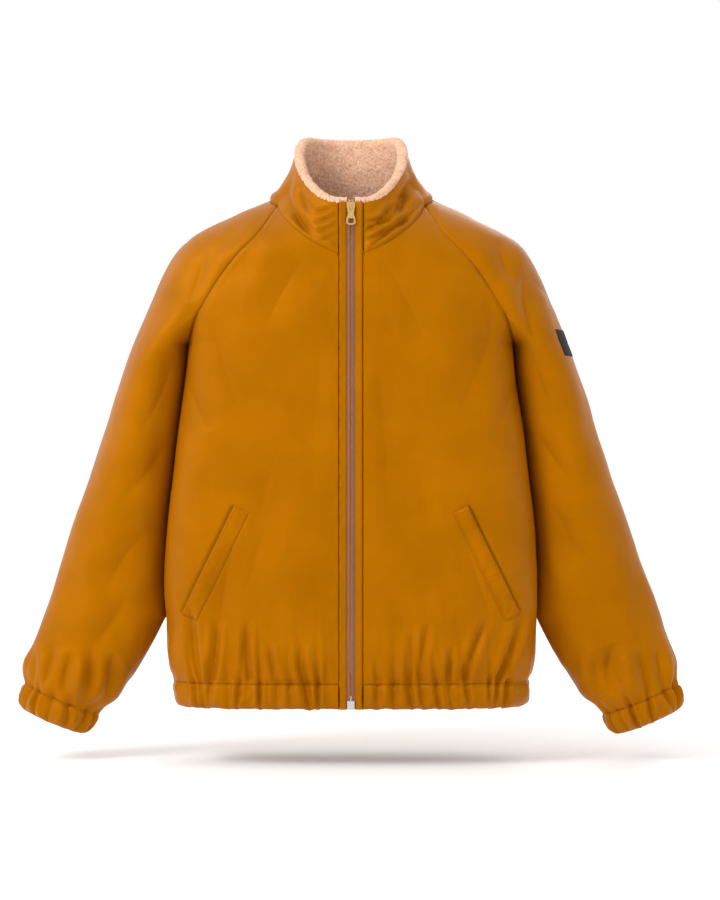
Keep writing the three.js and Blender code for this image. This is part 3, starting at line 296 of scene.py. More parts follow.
class Sheet:
    """Welded blocks of rows of points, in millimetres, with normals that face out."""

    def __init__(self, blocks):
        points, faces, uvs, start = [], [], [], 0
        for rows in blocks:
            n, m = rows.shape[:2]
            index = start + np.arange(n * m).reshape(n, m)
            quads = np.stack([index[:-1, :-1], index[1:, :-1], index[1:, 1:], index[:-1, 1:]], axis=-1)
            across = np.linalg.norm(np.diff(rows, axis=1), axis=2).cumsum(axis=1)
            u = np.concatenate([np.zeros((n, 1)), across], axis=1)
            u = u - u[:, -1:] / 2
            down = np.linalg.norm(np.diff(rows, axis=0), axis=2).mean(axis=1).cumsum()
            v = np.repeat(np.concatenate([[0], down])[:, None], m, axis=1)
            points.append(rows.reshape(-1, 3))
            uvs.append(np.stack([u, v], axis=-1).reshape(-1, 2))
            faces.append(quads.reshape(-1, 4))
            start += n * m
        points, faces, uvs = np.concatenate(points), np.concatenate(faces), np.concatenate(uvs)
        keys = np.round(points * 1000).astype(np.int64)
        _, first, inverse = np.unique(keys, axis=0, return_index=True, return_inverse=True)
        self.points = points[first]
        self.uvs = uvs[first]
        faces = inverse.reshape(-1)[faces]
        distinct = np.array([len(set(f)) for f in faces.tolist()])
        self.faces = [f for f, d in zip(faces.tolist(), distinct) if d == 4]
        for f in (f for f, d in zip(faces.tolist(), distinct) if d == 3):
            self.faces.append(list(dict.fromkeys(f)))
        self.normals = self._normals()

    def _normals(self):
        normals = np.zeros_like(self.points)
        tris = np.array([f[:3] for f in self.faces] + [[f[0], f[2], f[-1]] for f in self.faces])
        a, b, c = (self.points[tris[:, k]] for k in range(3))
        cross = np.cross(b - a, c - a)
        for k in range(3):
            np.add.at(normals, tris[:, k], cross)
        return normals / np.maximum(np.linalg.norm(normals, axis=1, keepdims=True), 1e-9)

    def push(self, amount, directions=None):
        """Moves every point along its normal or the directions given, in millimetres."""
        directions = self.normals if directions is None else directions
        self.points = self.points + directions * np.asarray(amount)[:, None]
        return self

    def steered(self, directions, share):
        """Normals that turn into the directions given as share rises from 0 to 1."""
        out = mix(self.normals, directions, np.asarray(share)[:, None])
        return out / np.linalg.norm(out, axis=1, keepdims=True)

    def shift(self, offset):
        self.points = self.points + offset
        return self

    def mirror(self):
        self.points = self.points * [-1, 1, 1]
        self.normals = self.normals * [-1, 1, 1]
        self.faces = [f[::-1] for f in self.faces]
        return self

    def relax(self, share, rounds):
        """Evens out the points where share is over 0. Open edges stay where they are."""
        ends = np.array([(f[i], f[(i + 1) % len(f)]) for f in self.faces for i in range(len(f))])
        ordered, count = np.unique(np.sort(ends, axis=1), axis=0, return_counts=True)
        fixed = np.zeros(len(self.points), bool)
        fixed[ordered[count == 1].ravel()] = True
        share = np.where(fixed, 0.0, share)[:, None]
        both = np.concatenate([ordered, ordered[:, ::-1]])
        degree = np.bincount(both[:, 0], minlength=len(self.points))[:, None]
        for _ in range(rounds):
            total = np.stack([
                np.bincount(both[:, 0], self.points[both[:, 1], k], len(self.points)) for k in range(3)
            ], axis=1)
            self.points = mix(self.points, total / degree, share * 0.6)
        self.normals = self._normals()
        return self

    def build(self, name, material, pile=None):
        return add_mesh(name, self.points, self.faces, material, self.uvs, pile)


def add_mesh(name, points, faces, material, uvs=None, pile=None):
    mesh = bpy.data.meshes.new(name)
    mesh.from_pydata((np.asarray(points) * MM + ORIGIN).tolist(), [], [list(f) for f in faces])
    if uvs is not None:
        layer = mesh.uv_layers.new(name="cloth")
        corners = np.empty(len(mesh.loops), np.int64)
        mesh.loops.foreach_get("vertex_index", corners)
        layer.data.foreach_set("uv", (np.asarray(uvs)[corners] * MM).ravel())
    if pile is not None:
        mesh.attributes.new("pile", "FLOAT", "POINT").data.foreach_set("value", np.asarray(pile, float))
    mesh.shade_smooth()
    obj = bpy.data.objects.new(name, mesh)
    bpy.context.scene.collection.objects.link(obj)
    obj.data.materials.append(material)
    return obj


def thick(obj, millimetres):
    modifier = obj.modifiers.new("cloth", "SOLIDIFY")
    modifier.thickness = millimetres * MM
    modifier.offset = -1
    return obj


def belongs(obj, body, slot, *nodes):
    """obj rides on a body and stands for CAD nodes, which it hides. The slot argument is not used."""
    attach(obj, body)
    if nodes:
        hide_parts(*nodes)
    return obj


# ---- Folds --------------------------------------------------------------------------------

def crease(u):
    """A fold's profile: a sharp valley with a soft ridge on each side."""
    return -np.exp(-1.2 * np.abs(u)) + 0.5 * np.exp(-(((np.abs(u) - 2.1) / 1.1) ** 2))


def strokes(x, z, lines):
    """Folds along lines in the front view: (x0, z0, x1, z1, width, depth, bow)."""
    out = np.zeros_like(x)
    for x0, z0, x1, z1, width, depth, bow in lines:
        dx, dz = x1 - x0, z1 - z0
        length = math.hypot(dx, dz)
        t = ((x - x0) * dx + (z - z0) * dz) / length**2
        side = ((x - x0) * dz - (z - z0) * dx) / length - bow * 4 * t * (1 - t)
        inside = np.sin(PI * np.clip(t, 0, 1)) ** 0.7
        out += depth * inside * crease(side / width)
    return out


def gathers(along, height, places, widths, depths, leans):
    """Pleats along a gathered edge: each has its own place, width, depth and lean."""
    out = np.zeros(len(along))
    for place, width, depth, lean in zip(places, widths, depths, leans):
        gap = (along - place - lean * height) / width
        near = np.abs(gap) < 4
        out[near] += depth * crease(gap[near])
    return out


def wobble(points, scale, seed):
    """Smooth noise from -1 to 1 over points in millimetres."""
    offset = Vector((seed * 17.3, seed * 5.1, seed * 9.7))
    return np.array([noise.noise(Vector(p) / scale + offset) for p in points.tolist()])


def crumple(points, scale, seed):
    """Sharp-edged noise, like creases pressed into thin cloth, from about -1 to 0.5."""
    return 0.5 - 2.2 * np.abs(wobble(points, scale, seed))


def distance_to(points, line):
    """Distance of each point from a polyline sampled closely."""
    out = np.full(len(points), 1e9)
    for chunk in np.array_split(np.arange(len(points)), max(1, len(points) // 2000)):
        delta = points[chunk][:, None, :] - line[None, :, :]
        out[chunk] = np.sqrt((delta**2).sum(axis=2)).min(axis=1)
    return out


def seam_groove(distance, depth=1.8, width=2.6):
    return -depth * np.exp(-((distance / width) ** 2)) + 0.5 * np.exp(-(((distance - 7) / 4) ** 2))


# ---- Materials ----------------------------------------------------------------------------

def new_material(name):
    material = bpy.data.materials.new(name)
    material.use_nodes = True
    nodes = material.node_tree.nodes
    return material, nodes, material.node_tree.links, nodes["Principled BSDF"]


def noise_node(nodes, links, vector, scale, detail=3.0, roughness=0.5):
    node = nodes.new("ShaderNodeTexNoise")
    node.inputs["Scale"].default_value = scale
    node.inputs["Detail"].default_value = detail
    node.inputs["Roughness"].default_value = roughness
    links.new(vector, node.inputs["Vector"])
    return node.outputs["Fac"]


def wave_node(nodes, links, vector, scale, direction, distortion=0.0):
    node = nodes.new("ShaderNodeTexWave")
    node.bands_direction = direction
    node.inputs["Scale"].default_value = scale
    node.inputs["Distortion"].default_value = distortion
    links.new(vector, node.inputs["Vector"])
    return node.outputs["Fac"]


def math_node(nodes, links, operation, a, b):
    node = nodes.new("ShaderNodeMath")
    node.operation = operation
    for socket, value in zip(node.inputs, (a, b)):
        if isinstance(value, (int, float)):
            socket.default_value = value
        else:
            links.new(value, socket)
    return node.outputs[0]


def ramp_node(nodes, links, factor, stops):
    node = nodes.new("ShaderNodeValToRGB")
    ramp = node.color_ramp
    while len(ramp.elements) < len(stops):
        ramp.elements.new(0.5)
    for element, (place, color) in zip(ramp.elements, stops):
        element.position = place
        element.color = (*color, 1)
    links.new(factor, node.inputs["Fac"])
    return node.outputs["Color"]


def bump_node(nodes, links, height, strength, distance):
    node = nodes.new("ShaderNodeBump")
    node.inputs["Strength"].default_value = strength
    node.inputs["Distance"].default_value = distance
    links.new(height, node.inputs["Height"])
    return node.outputs["Normal"]


def scaled(color, factor):
    return tuple(c * factor for c in color)


def cloth_material(name, color, thread=0.0005, rough=0.5, sheen=0.0, bump=0.25, specular=0.5):
    """Plain-woven cloth: threads both ways over a slow change of tone and a faint crumple."""
    material, nodes, links, shader = new_material(name)
    uv = nodes.new("ShaderNodeUVMap").outputs["UV"]
    place = nodes.new("ShaderNodeTexCoord").outputs["Object"]
    tone = noise_node(nodes, links, place, 14, 4)
    links.new(ramp_node(nodes, links, tone, [(0.3, scaled(color, 0.9)), (0.7, scaled(color, 1.07))]),
              shader.inputs["Base Color"])
    waves = [wave_node(nodes, links, uv, 0.314 / thread, axis, 0.6) for axis in ("X", "Y")]
    weave = math_node(nodes, links, "MAXIMUM", *waves)
    slub = noise_node(nodes, links, place, 900, 2)
    crumple = noise_node(nodes, links, place, 70, 5, 0.55)
    height = math_node(nodes, links, "ADD", math_node(nodes, links, "MULTIPLY", weave, 0.25), slub)
    height = math_node(nodes, links, "ADD", math_node(nodes, links, "MULTIPLY", crumple, 4.0), height)
    links.new(bump_node(nodes, links, height, bump, 0.0003), shader.inputs["Normal"])
    roughness = math_node(nodes, links, "MULTIPLY_ADD", crumple, 0.12)
    nodes[-1].inputs[2].default_value = rough - 0.06
    links.new(roughness, shader.inputs["Roughness"])
    shader.inputs["Sheen Weight"].default_value = sheen
    shader.inputs["Sheen Roughness"].default_value = 0.4
    shader.inputs["Sheen Tint"].default_value = (*color, 1)
    shader.inputs["Specular IOR Level"].default_value = specular
    shader.inputs["Specular Tint"].default_value = (*(c / max(color) for c in color), 1)
    return material


def fleece_material():
    """Curly pile: colour painted light on the tips and dark in the valleys as painted shade, and a matte velvet edge.
    """
    material, nodes, links, shader = new_material("fleece")
    place = nodes.new("ShaderNodeTexCoord").outputs["Object"]
    height = nodes.new("ShaderNodeAttribute")
    height.attribute_name = "pile"
    fuzz = noise_node(nodes, links, place, 900, 4, 0.7)
    pile_shade = math_node(nodes, links, "ADD", height.outputs["Fac"], math_node(nodes, links, "MULTIPLY", fuzz, 0.35))
    # Painted shade: the ramp runs from dark in the pile's valleys to light on its tips, with fine random fuzz.
    links.new(ramp_node(nodes, links, pile_shade, [
        (0.12, (0.50, 0.270, 0.165)), (0.55, (0.71, 0.415, 0.270)), (1.0, (0.84, 0.55, 0.39)),
    ]), shader.inputs["Base Color"])
    links.new(bump_node(nodes, links, fuzz, 0.6, 0.001), shader.inputs["Normal"])
    shader.inputs["Roughness"].default_value = 0.95
    shader.inputs["Sheen Weight"].default_value = 0.35
    shader.inputs["Sheen Roughness"].default_value = 0.5
    shader.inputs["Sheen Tint"].default_value = (1, 0.78, 0.62, 1)
    shader.inputs["Specular IOR Level"].default_value = 0.15
    return material


def metal_material(name, color, rough):
    material, nodes, links, shader = new_material(name)
    place = nodes.new("ShaderNodeTexCoord").outputs["Object"]
    wear = noise_node(nodes, links, place, 420, 5, 0.6)
    links.new(ramp_node(nodes, links, wear, [(0.35, scaled(color, 0.72)), (0.65, color)]),
              shader.inputs["Base Color"])
    links.new(bump_node(nodes, links, wear, 0.2, 0.0002), shader.inputs["Normal"])
    shader.inputs["Metallic"].default_value = 1.0
    shader.inputs["Roughness"].default_value = rough
    return material


OCHRE = (0.350, 0.113, 0.0004)
SHELL = cloth_material("shell_cloth", OCHRE, rough=0.42, sheen=0.1, bump=0.2, specular=0.4)
THREAD = cloth_material("ochre_thread", (0.36, 0.115, 0.0008), thread=0.0003, rough=0.5, bump=0.3)
FLEECE = fleece_material()
TAPE = cloth_material("zip_tape", (0.36, 0.155, 0.075), thread=0.0007, rough=0.7, bump=0.6)
COIL = cloth_material("zip_coil", (0.42, 0.185, 0.095), thread=0.0004, rough=0.38, bump=0.1, specular=0.5)
LABEL = cloth_material("label", (0.014, 0.013, 0.015), thread=0.0005, rough=0.75, bump=0.4, specular=0.2)
WEBBING = cloth_material("elastic", (0.80, 0.77, 0.70), thread=0.0012, rough=0.8, bump=0.8)
POCKETING = cloth_material("pocketing", (0.45, 0.17, 0.02), thread=0.0006, rough=0.75, bump=0.4)
GOLD = metal_material("zip_gold", (0.78, 0.46, 0.17), 0.34)
SILVER = metal_material("zip_silver", (0.62, 0.62, 0.66), 0.3)


# ---- Camera, light and floor --------------------------------------------------------------

def add_light(name, location, target, size, power, color=(1, 1, 1)):
    data = bpy.data.lights.new(name, "AREA")
    data.size = size
    data.energy = power
    data.color = color
    light = bpy.data.objects.new(name, data)
    light.location = location
    light.rotation_euler = (Vector(target) - Vector(location)).to_track_quat("-Z", "Y").to_euler()
    bpy.context.scene.collection.objects.link(light)


def add_stage():
    scene = bpy.context.scene
    camera = bpy.data.cameras.new("camera")
    camera.lens = 100
    holder = bpy.data.objects.new("camera", camera)
    frame_height = 1.26
    distance = frame_height * camera.lens / camera.sensor_width
    aim = ORIGIN + np.array([12.6, -60.0, -355.6]) * MM
    holder.location = aim + np.array([0, -distance, 0])
    holder.rotation_euler = (PI / 2, 0, 0)
    scene.collection.objects.link(holder)
    scene.camera = holder
    middle = ORIGIN + np.array([0, 0, -350]) * MM
    add_light("key", middle + np.array([-1.9, -1.7, 1.8]), middle, 1.3, 52)
    add_light("rim", middle + np.array([0.6, 2.6, 1.8]), middle, 2.0, 20)
    world = bpy.data.worlds.new("studio")
    world.use_nodes = True
    world.node_tree.nodes["Background"].inputs["Color"].default_value = (1, 1, 1, 1)
    world.node_tree.nodes["Background"].inputs["Strength"].default_value = 1.0
    scene.world = world
    scene.view_settings.view_transform = "Standard"
    floor = bpy.data.meshes.new("floor")
    reach, low = 6.0, CAD_BOX[0][2] - 0.035
    floor.from_pydata([(-reach, -reach, low), (reach, -reach, low), (reach, reach, low), (-reach, reach, low)],
                      [], [(0, 1, 2, 3)])
    ground = bpy.data.objects.new("floor", floor)
    scene.collection.objects.link(ground)
    pale, nodes, links, shader = new_material("pale_floor")
    shader.inputs["Base Color"].default_value = (0.99, 0.99, 0.99, 1)
    shader.inputs["Roughness"].default_value = 0.9
    shader.inputs["Specular IOR Level"].default_value = 0.1
    floor.materials.append(pale)


add_stage()


# ---- The body's folds ---------------------------------------------------------------------

HEM_PLEATS = {
    -1: [16, 46, 62, 84, 101, 126, 154, 170, 196, 209, 218],
    1: [20, 38, 60, 81, 96, 118, 137, 160, 192, 204, 217],
}
FRONT_STROKES = [
    # Long folds above the hem, x and z of both ends, width, depth and bow.
    (-222, -572, -208, -686, 5, 2.6, 3), (-186, -590, -193, -686, 5, 3.2, -3),
    (-143, -592, -138, -688, 5, 2.8, 3), (-112, -622, -104, -686, 4, 2.4, 0),
    (-70, -628, -62, -686, 5, 2.0, 3), (-34, -646, -32, -686, 4, 1.4, 0),
    (34, -640, 38, -688, 4, 1.6, 2), (84, -606, 79, -686, 5, 2.8, -3),
    (108, -596, 96, -686, 5, 2.6, 4), (140, -626, 132, -688, 4, 2.4, 0),
    (190, -590, 156, -686, 5, 3.0, 5), (238, -580, 192, -688, 5, 3.0, -6),
    (216, -640, 206, -686, 4, 2.2, 0),
    # Slack beside the pockets.
    (-163, -486, -181, -606, 14, 2.2, 3), (152, -470, 196, -600, 14, 1.6, -3),
    (-120, -470, -150, -560, 16, 1.2, 0),
    # Pulls from the neck and the armholes.
    (-60, -86, -118, -190, 20, 1.6, 6), (44, -96, 104, -210, 22, 1.5, -6),
    (-188, -170, -150, -300, 22, 1.8, 8), (196, -170, 150, -300, 22, 1.8, -8),
    (-236, -240, -196, -330, 18, 1.8, 4), (238, -240, 200, -330, 18, 1.6, -4),
    (-90, -330, -130, -470, 30, 1.4, 5), (80, -340, 112, -480, 30, 1.4, -4),
    (-40, -200, -52, -420, 24, 1.0, 4), (36, -220, 50, -430, 24, 1.0, -3),
]
FOLD_GAIN = 2.4
BACK_STROKES = [
    (-150, -120, -60, -260, 26, 2.2, 8), (150, -120, 60, -260, 26, 2.2, -8),
    (-210, -220, -120, -360, 28, 2.4, 10), (210, -220, 120, -360, 28, 2.2, -10),
    (-60, -420, -80, -640, 22, 2.0, 6), (70, -400, 84, -640, 22, 2.0, -6),
    (0, -80, 6, -300, 30, 1.2, 4), (-180, -500, -160, -682, 12, 2.4, 4),
    (180, -500, 160, -682, 12, 2.4, -4), (10, -560, 4, -684, 12, 2.2, 2),
    (-110, -590, -104, -684, 9, 2.2, 0), (116, -600, 110, -684, 9, 2.2, 0),
]


def raglan_line(back):
    curve = back_raglan if back else front_raglan
    z = np.linspace(TURN_Z, BACK_NECK_Z if back else RAGLAN_TOP_Z, 90)
    upper = body_point(angle_at(curve(z), z, back), z)
    z = np.linspace(UNDERARM_Z, TURN_Z, 40)
    return np.concatenate([body_point(armhole_angle(z, back), z), upper])


def both_sides(line):
    return np.concatenate([line, line * [-1, 1, 1]])


RAGLANS = both_sides(np.concatenate([raglan_line(False), raglan_line(True)]))


def hem_pleats(points):
    """Valleys and lobes round the gathered hem, about 1 deep."""
    out = np.zeros(len(points))
    x, y = points[:, 0], points[:, 1]
    # Distance round the hem, so that the pleats carry on round the sides and the back.
    round_side = np.where(y < 0, np.abs(x), 2 * 246.0 + 95 - np.abs(x))
    height = points[:, 2] - HEM_SEAM_Z
    for side, front in HEM_PLEATS.items():
        rng = np.random.default_rng(7 + side)
        places = np.concatenate([front, 236 + np.cumsum(rng.uniform(12, 27, 16))])
        n = len(places)
        widths, depths = rng.uniform(2.6, 5.4, n), rng.uniform(0.5, 1.45, n)
        here = np.sign(x + 1e-9) == side
        out[here] = gathers(round_side[here], height[here], places, widths, depths, rng.uniform(-0.2, 0.2, n))
    return out


def hem_outward(points):
    """Level directions straight out of the hem."""
    w, power = HEM_WIDTH, 3.0
    depth = np.where(points[:, 1] < 0, FRONT_DEPTH, HEM_BACK_DEPTH)
    x = np.sign(points[:, 0]) * (np.abs(points[:, 0]) / w) ** power / w
    y = np.sign(points[:, 1]) * (np.abs(points[:, 1]) / depth) ** power / depth
    out = points3(x, y, 0 * x)
    return out / np.maximum(np.linalg.norm(out, axis=1, keepdims=True), 1e-12)


POCKET_TOP, POCKET_BOTTOM = (152.0, -438.0), (224.0, -588.0)
WELT_WIDTH = 22.0
POCKET_LENGTH = math.hypot(POCKET_BOTTOM[0] - POCKET_TOP[0], POCKET_BOTTOM[1] - POCKET_TOP[1])
POCKET_ALONG = ((POCKET_BOTTOM[0] - POCKET_TOP[0]) / POCKET_LENGTH, (POCKET_BOTTOM[1] - POCKET_TOP[1]) / POCKET_LENGTH)
POCKET_ACROSS = (-POCKET_ALONG[1], POCKET_ALONG[0])


def pocket_coordinates(points, side):
    """Millimetres across the welt, outwards from its middle, and the share of the way down it."""
    x, z = points[:, 0] * side - POCKET_TOP[0], points[:, 2] - POCKET_TOP[1]
    across = x * POCKET_ACROSS[0] + z * POCKET_ACROSS[1]
    return across, (x * POCKET_ALONG[0] + z * POCKET_ALONG[1]) / POCKET_LENGTH


def body_folds(points):
    """How far out the body's cloth stands at points of its plain surface, in millimetres."""
    out = pocketless_folds(points)
    for side in (1, -1):
        across, down = pocket_coordinates(points, side)
        on_welt = smooth((0.5 - np.abs(down - 0.5)) * POCKET_LENGTH / 5 + 0.6) * (points[:, 1] < 0)
        out -= 3.4 * np.exp(-(((across - WELT_WIDTH / 2 - 1.4) / 2.4) ** 2)) * on_welt
        out -= 0.5 * np.exp(-(((across + WELT_WIDTH / 2) / 2.0) ** 2)) * on_welt
        out -= 1.4 * (np.abs(across) < WELT_WIDTH / 2 - 1) * on_welt
    return out


def pocketless_folds(points):
    """The folds of the body's cloth without the dents round the pockets."""
    x, y, z = points.T
    front = y < 0
    out = np.where(front, strokes(x, z, FRONT_STROKES), strokes(x, z, BACK_STROKES))
    side = smooth((np.abs(y) - 25) / 50)
    out *= FOLD_GAIN * side
    height = z - HEM_SEAM_Z
    pleats = PLEAT_DEPTH * hem_pleats(points)
    out += pleats * np.exp(-height / 30.0)
    out += 5.5 * np.exp(-(((height - 34) / 30) ** 2)) * side
    low = np.exp(-np.maximum(height, 0) / 60)
    out += 2.6 * wobble(points, 95, 1) + (0.8 + 3.0 * low) * wobble(points * [1, 1, 0.4], 28, 2)
    out += (0.25 + 1.5 * low) * crumple(points * [1, 1, 0.5], 26, 3)
    seam = distance_to(points, RAGLANS)
    near = smooth((z - UNDERARM_Z + 25) / 50)
    out *= mix(1.0, smooth(seam / 14), near)
    out += near * (1.5 * smooth(seam / 5) - 0.4)
    out = mix(pleats, out, smooth(height / 9))
    # The sleeves lie against the sides, which stay flat under them.
    beside = smooth((UNDERARM_Z + 20 - z) / 20) * smooth((z + 600) / 60)
    out *= mix(1.0, smooth((np.abs(y) - 4) / 24), beside)
    # The zip holds the fronts flat beside it.
    held = np.where(front, smooth((np.abs(x) - 17.0) / 26), 1.0)
    ripple = 0.5 * np.sin(z / 7.4 + 1.3 * np.sin(z / 31.0)) * np.exp(-(((np.abs(x) - 22) / 7) ** 2)) * front
    return out * held + ripple * smooth((np.abs(x) - 17.0) / 4)


def panel_heights(top, bottom, step):
    """Heights of a panel's rows, closer together where the armhole runs out at the side."""
    turn = UNDERARM_Z + 16
    above = np.linspace(top, turn, int((top - turn) / step), endpoint=False)
    share = np.linspace(1, 0, 22, endpoint=False) ** (1 / 0.6)
    below = np.linspace(UNDERARM_Z, bottom, int((UNDERARM_Z - bottom) / step))
    return np.concatenate([above, UNDERARM_Z + 16 * share, below])


def front_panel_rows(columns, step, inset=0.0, edge=PLACKET_EDGE + 0.6, top=RAGLAN_TOP_Z, bottom=HEM_SEAM_Z):
    rows = []
    for z in panel_heights(top, bottom, step):
        from_x = max(float(neck_x(z)), edge) if z > -FRONT_NECK_DROP else edge
        angles = np.linspace(float(angle_at(from_x, z, False)), float(armhole_angle(z, False)), 260)
        rows.append(respaced(body_point(angles, z, inset), columns))
    return np.array(rows)


def back_panel_rows(columns, step, inset=0.0, top=BACK_NECK_Z, bottom=HEM_SEAM_Z):
    rows = []
    for z in panel_heights(top, bottom, step):
        angles = np.linspace(float(armhole_angle(z, True)), PI / 2, 200)
        half = respaced(body_point(angles, z, inset), columns // 2)
        rows.append(np.concatenate([half, (half * [-1, 1, 1])[-2::-1]]))
    return np.array(rows)


def near_underarm(points):
    return np.exp(-(((points[:, 2] - TURN_Z + 15) / 55) ** 2))


def sleeve_near_underarm(points):
    """Where the sleeve is evened out: round the armhole, but not where it meets the body's side."""
    x, _, z = points.T
    beside = (np.abs(x) - torso_half_width(np.minimum(z, UNDERARM_Z)) - 4) / 30
    open_side = np.where(z < UNDERARM_Z + 4, smooth(beside), 1.0)
    return near_underarm(points) * open_side * smooth(distance_to(points, RAGLANS) / 10)


def body_shell():
    for side, name in ((1, "left"), (-1, "right")):
        panel = Sheet([front_panel_rows(150, 3.0)])
        panel.relax(near_underarm(panel.points), 60)
        if side < 0:
            panel.mirror()
        near_hem = 1 - smooth((panel.points[:, 2] - HEM_SEAM_Z) / 24)
        panel.push(body_folds(panel.points), panel.steered(hem_outward(panel.points), near_hem))
        obj = thick(panel.build(f"front_panel_{name}_cloth", SHELL), 1.2)
        belongs(obj, "jacket", "shell_cloth", f"front_panel_{name}")
    panel = Sheet([back_panel_rows(241, 3.2)])
    panel.relax(near_underarm(panel.points), 60)
    near_hem = 1 - smooth((panel.points[:, 2] - HEM_SEAM_Z) / 24)
    panel.push(body_folds(panel.points), panel.steered(hem_outward(panel.points), near_hem))
    obj = thick(panel.build("back_panel_cloth", SHELL), 1.2)
    belongs(obj, "jacket", "shell_cloth", "back_panel")


# ---- Sleeves ------------------------------------------------------------------------------

def neck_height(side):
    return np.where(side < 0, RAGLAN_TOP_Z, BACK_NECK_Z) * side**2


TUBE_START = 0.05


def sleeve_blocks(around, shoulder_rows, armhole_rows, tube_rows, inset=0.0, end=1.0):
    sides = np.linspace(-1, 1, around // 2 + 1)
    turns = np.linspace(-PI, PI, around + 1)
    shoulder = []
    for t in np.linspace(0, 1, shoulder_rows):
        z = mix(neck_height(sides), TURN_Z, t)
        front, back = shoulder_section(z, False)[0], shoulder_section(z, True)[0]
        turn = np.where(sides > 0, back, front)
        shoulder.append(shoulder_point(sides * turn, z, inset))
    edge = np.array([armhole_height(turn) for turn in turns])
    start = sleeve_point(turns, TUBE_START, inset)[:, 2]
    armhole = []
    for t in np.linspace(0, 1, armhole_rows):
        z = mix(edge, start, t)
        above = shoulder_point(turns, np.maximum(z, UNDERARM_Z), inset)
        down = TUBE_START * np.clip((UNDERARM_Z - z) / (UNDERARM_Z - start), 0, 1)
        below = sleeve_point(turns, down, inset)
        armhole.append(np.where((z >= UNDERARM_Z)[:, None], above, below))
    tube = [sleeve_point(turns, mix(TUBE_START, end, t), inset) for t in np.linspace(0, 1, tube_rows)]
    return [np.array(shoulder), np.array(armhole), np.array(tube)]


SLEEVE_AXIS = np.array([SLEEVE_END[0] - SLEEVE_INNER_END[0], 0, SLEEVE_END[1] - SLEEVE_INNER_END[1]])
SLEEVE_AXIS = SLEEVE_AXIS / np.linalg.norm(SLEEVE_AXIS)
CUFF_DOWN = np.array([SLEEVE_AXIS[2], 0, -SLEEVE_AXIS[0]])
CUFF_CENTRE = np.array([(SLEEVE_END[0] + SLEEVE_INNER_END[0]) / 2, 0, (SLEEVE_END[1] + SLEEVE_INNER_END[1]) / 2])
CUFF_HALF_WIDTH = 55.0
CUFF_HALF_DEPTH = 40.0

# Folds of the sleeves seen from the front: x and z of both ends, width, depth and bow.
SLEEVE_STROKES = {
    1: [
        (372, -628, 368, -702, 12, 5.0, 9), (404, -640, 420, -704, 9, 3.2, -4),
        (432, -636, 441, -690, 7, 3.4, 2), (342, -640, 352, -714, 7, 2.6, 3),
        (330, -560, 372, -640, 16, 2.4, 6), (300, -480, 352, -560, 18, 2.0, -6),
        (262, -330, 330, -420, 22, 2.4, 8), (256, -230, 300, -330, 20, 2.4, 8),
        (240, -110, 258, -210, 12, 3.4, 4), (206, -60, 224, -120, 12, 2.4, 3),
        (278, -430, 318, -520, 14, 1.8, -5), (236, -90, 296, -150, 24, 1.6, 5),
    ],
    -1: [
        (-366, -636, -374, -706, 8, 3.4, -4), (-392, -640, -404, -700, 9, 3.4, 3),
        (-420, -630, -432, -690, 8, 3.2, -3), (-444, -640, -448, -682, 6, 2.4, 0),
        (-336, -640, -350, -712, 8, 2.8, -3), (-316, -560, -372, -640, 16, 2.4, -6),
        (-286, -470, -346, -560, 18, 2.0, 6), (-250, -330, -326, -430, 22, 2.2, -8),
        (-244, -220, -296, -330, 20, 2.2, -8), (-204, -70, -226, -150, 14, 2.0, -4),
        (-150, -40, -200, -90, 20, 1.6, 4),
    ],
}


def cuff_turn(points, side):
    from_centre = points * [side, 1, 1] - CUFF_CENTRE
    return np.arctan2(from_centre[:, 1] / CUFF_HALF_DEPTH, from_centre @ SLEEVE_AXIS / CUFF_HALF_WIDTH)


def cuff_pleats(points, side):
    """Valleys and lobes round the gathered end of a sleeve, about 1 deep."""
    rng = np.random.default_rng(31 + side)
    count = 15
    places = -PI + (np.arange(count) + rng.uniform(-0.33, 0.33, count)) * 2 * PI / count
    widths, depths = rng.uniform(0.05, 0.11, count), rng.uniform(0.5, 1.35, count)
    leans = rng.uniform(-0.005, 0.005, count)
    turn, height = cuff_turn(points, side), above_cuff(points, side)
    out = gathers(turn, height, places, widths, depths, leans)
    for wrap in (-2 * PI, 2 * PI):
        out += gathers(turn + wrap, height, places, widths, depths, leans)
    return out


def cuff_outward(points, side):
    """Directions straight out of the cuff, across the sleeve."""
    turn = cuff_turn(points, side)
    across = np.cos(turn) / CUFF_HALF_WIDTH
    out = across[:, None] * SLEEVE_AXIS
    out[:, 1] = np.sin(turn) / CUFF_HALF_DEPTH
    return out / np.linalg.norm(out, axis=1, keepdims=True) * [side, 1, 1]


def above_cuff(points, side):
    """Height above the cuff's seam, up the sleeve."""
    return -((points * [side, 1, 1] - CUFF_CENTRE) @ CUFF_DOWN)


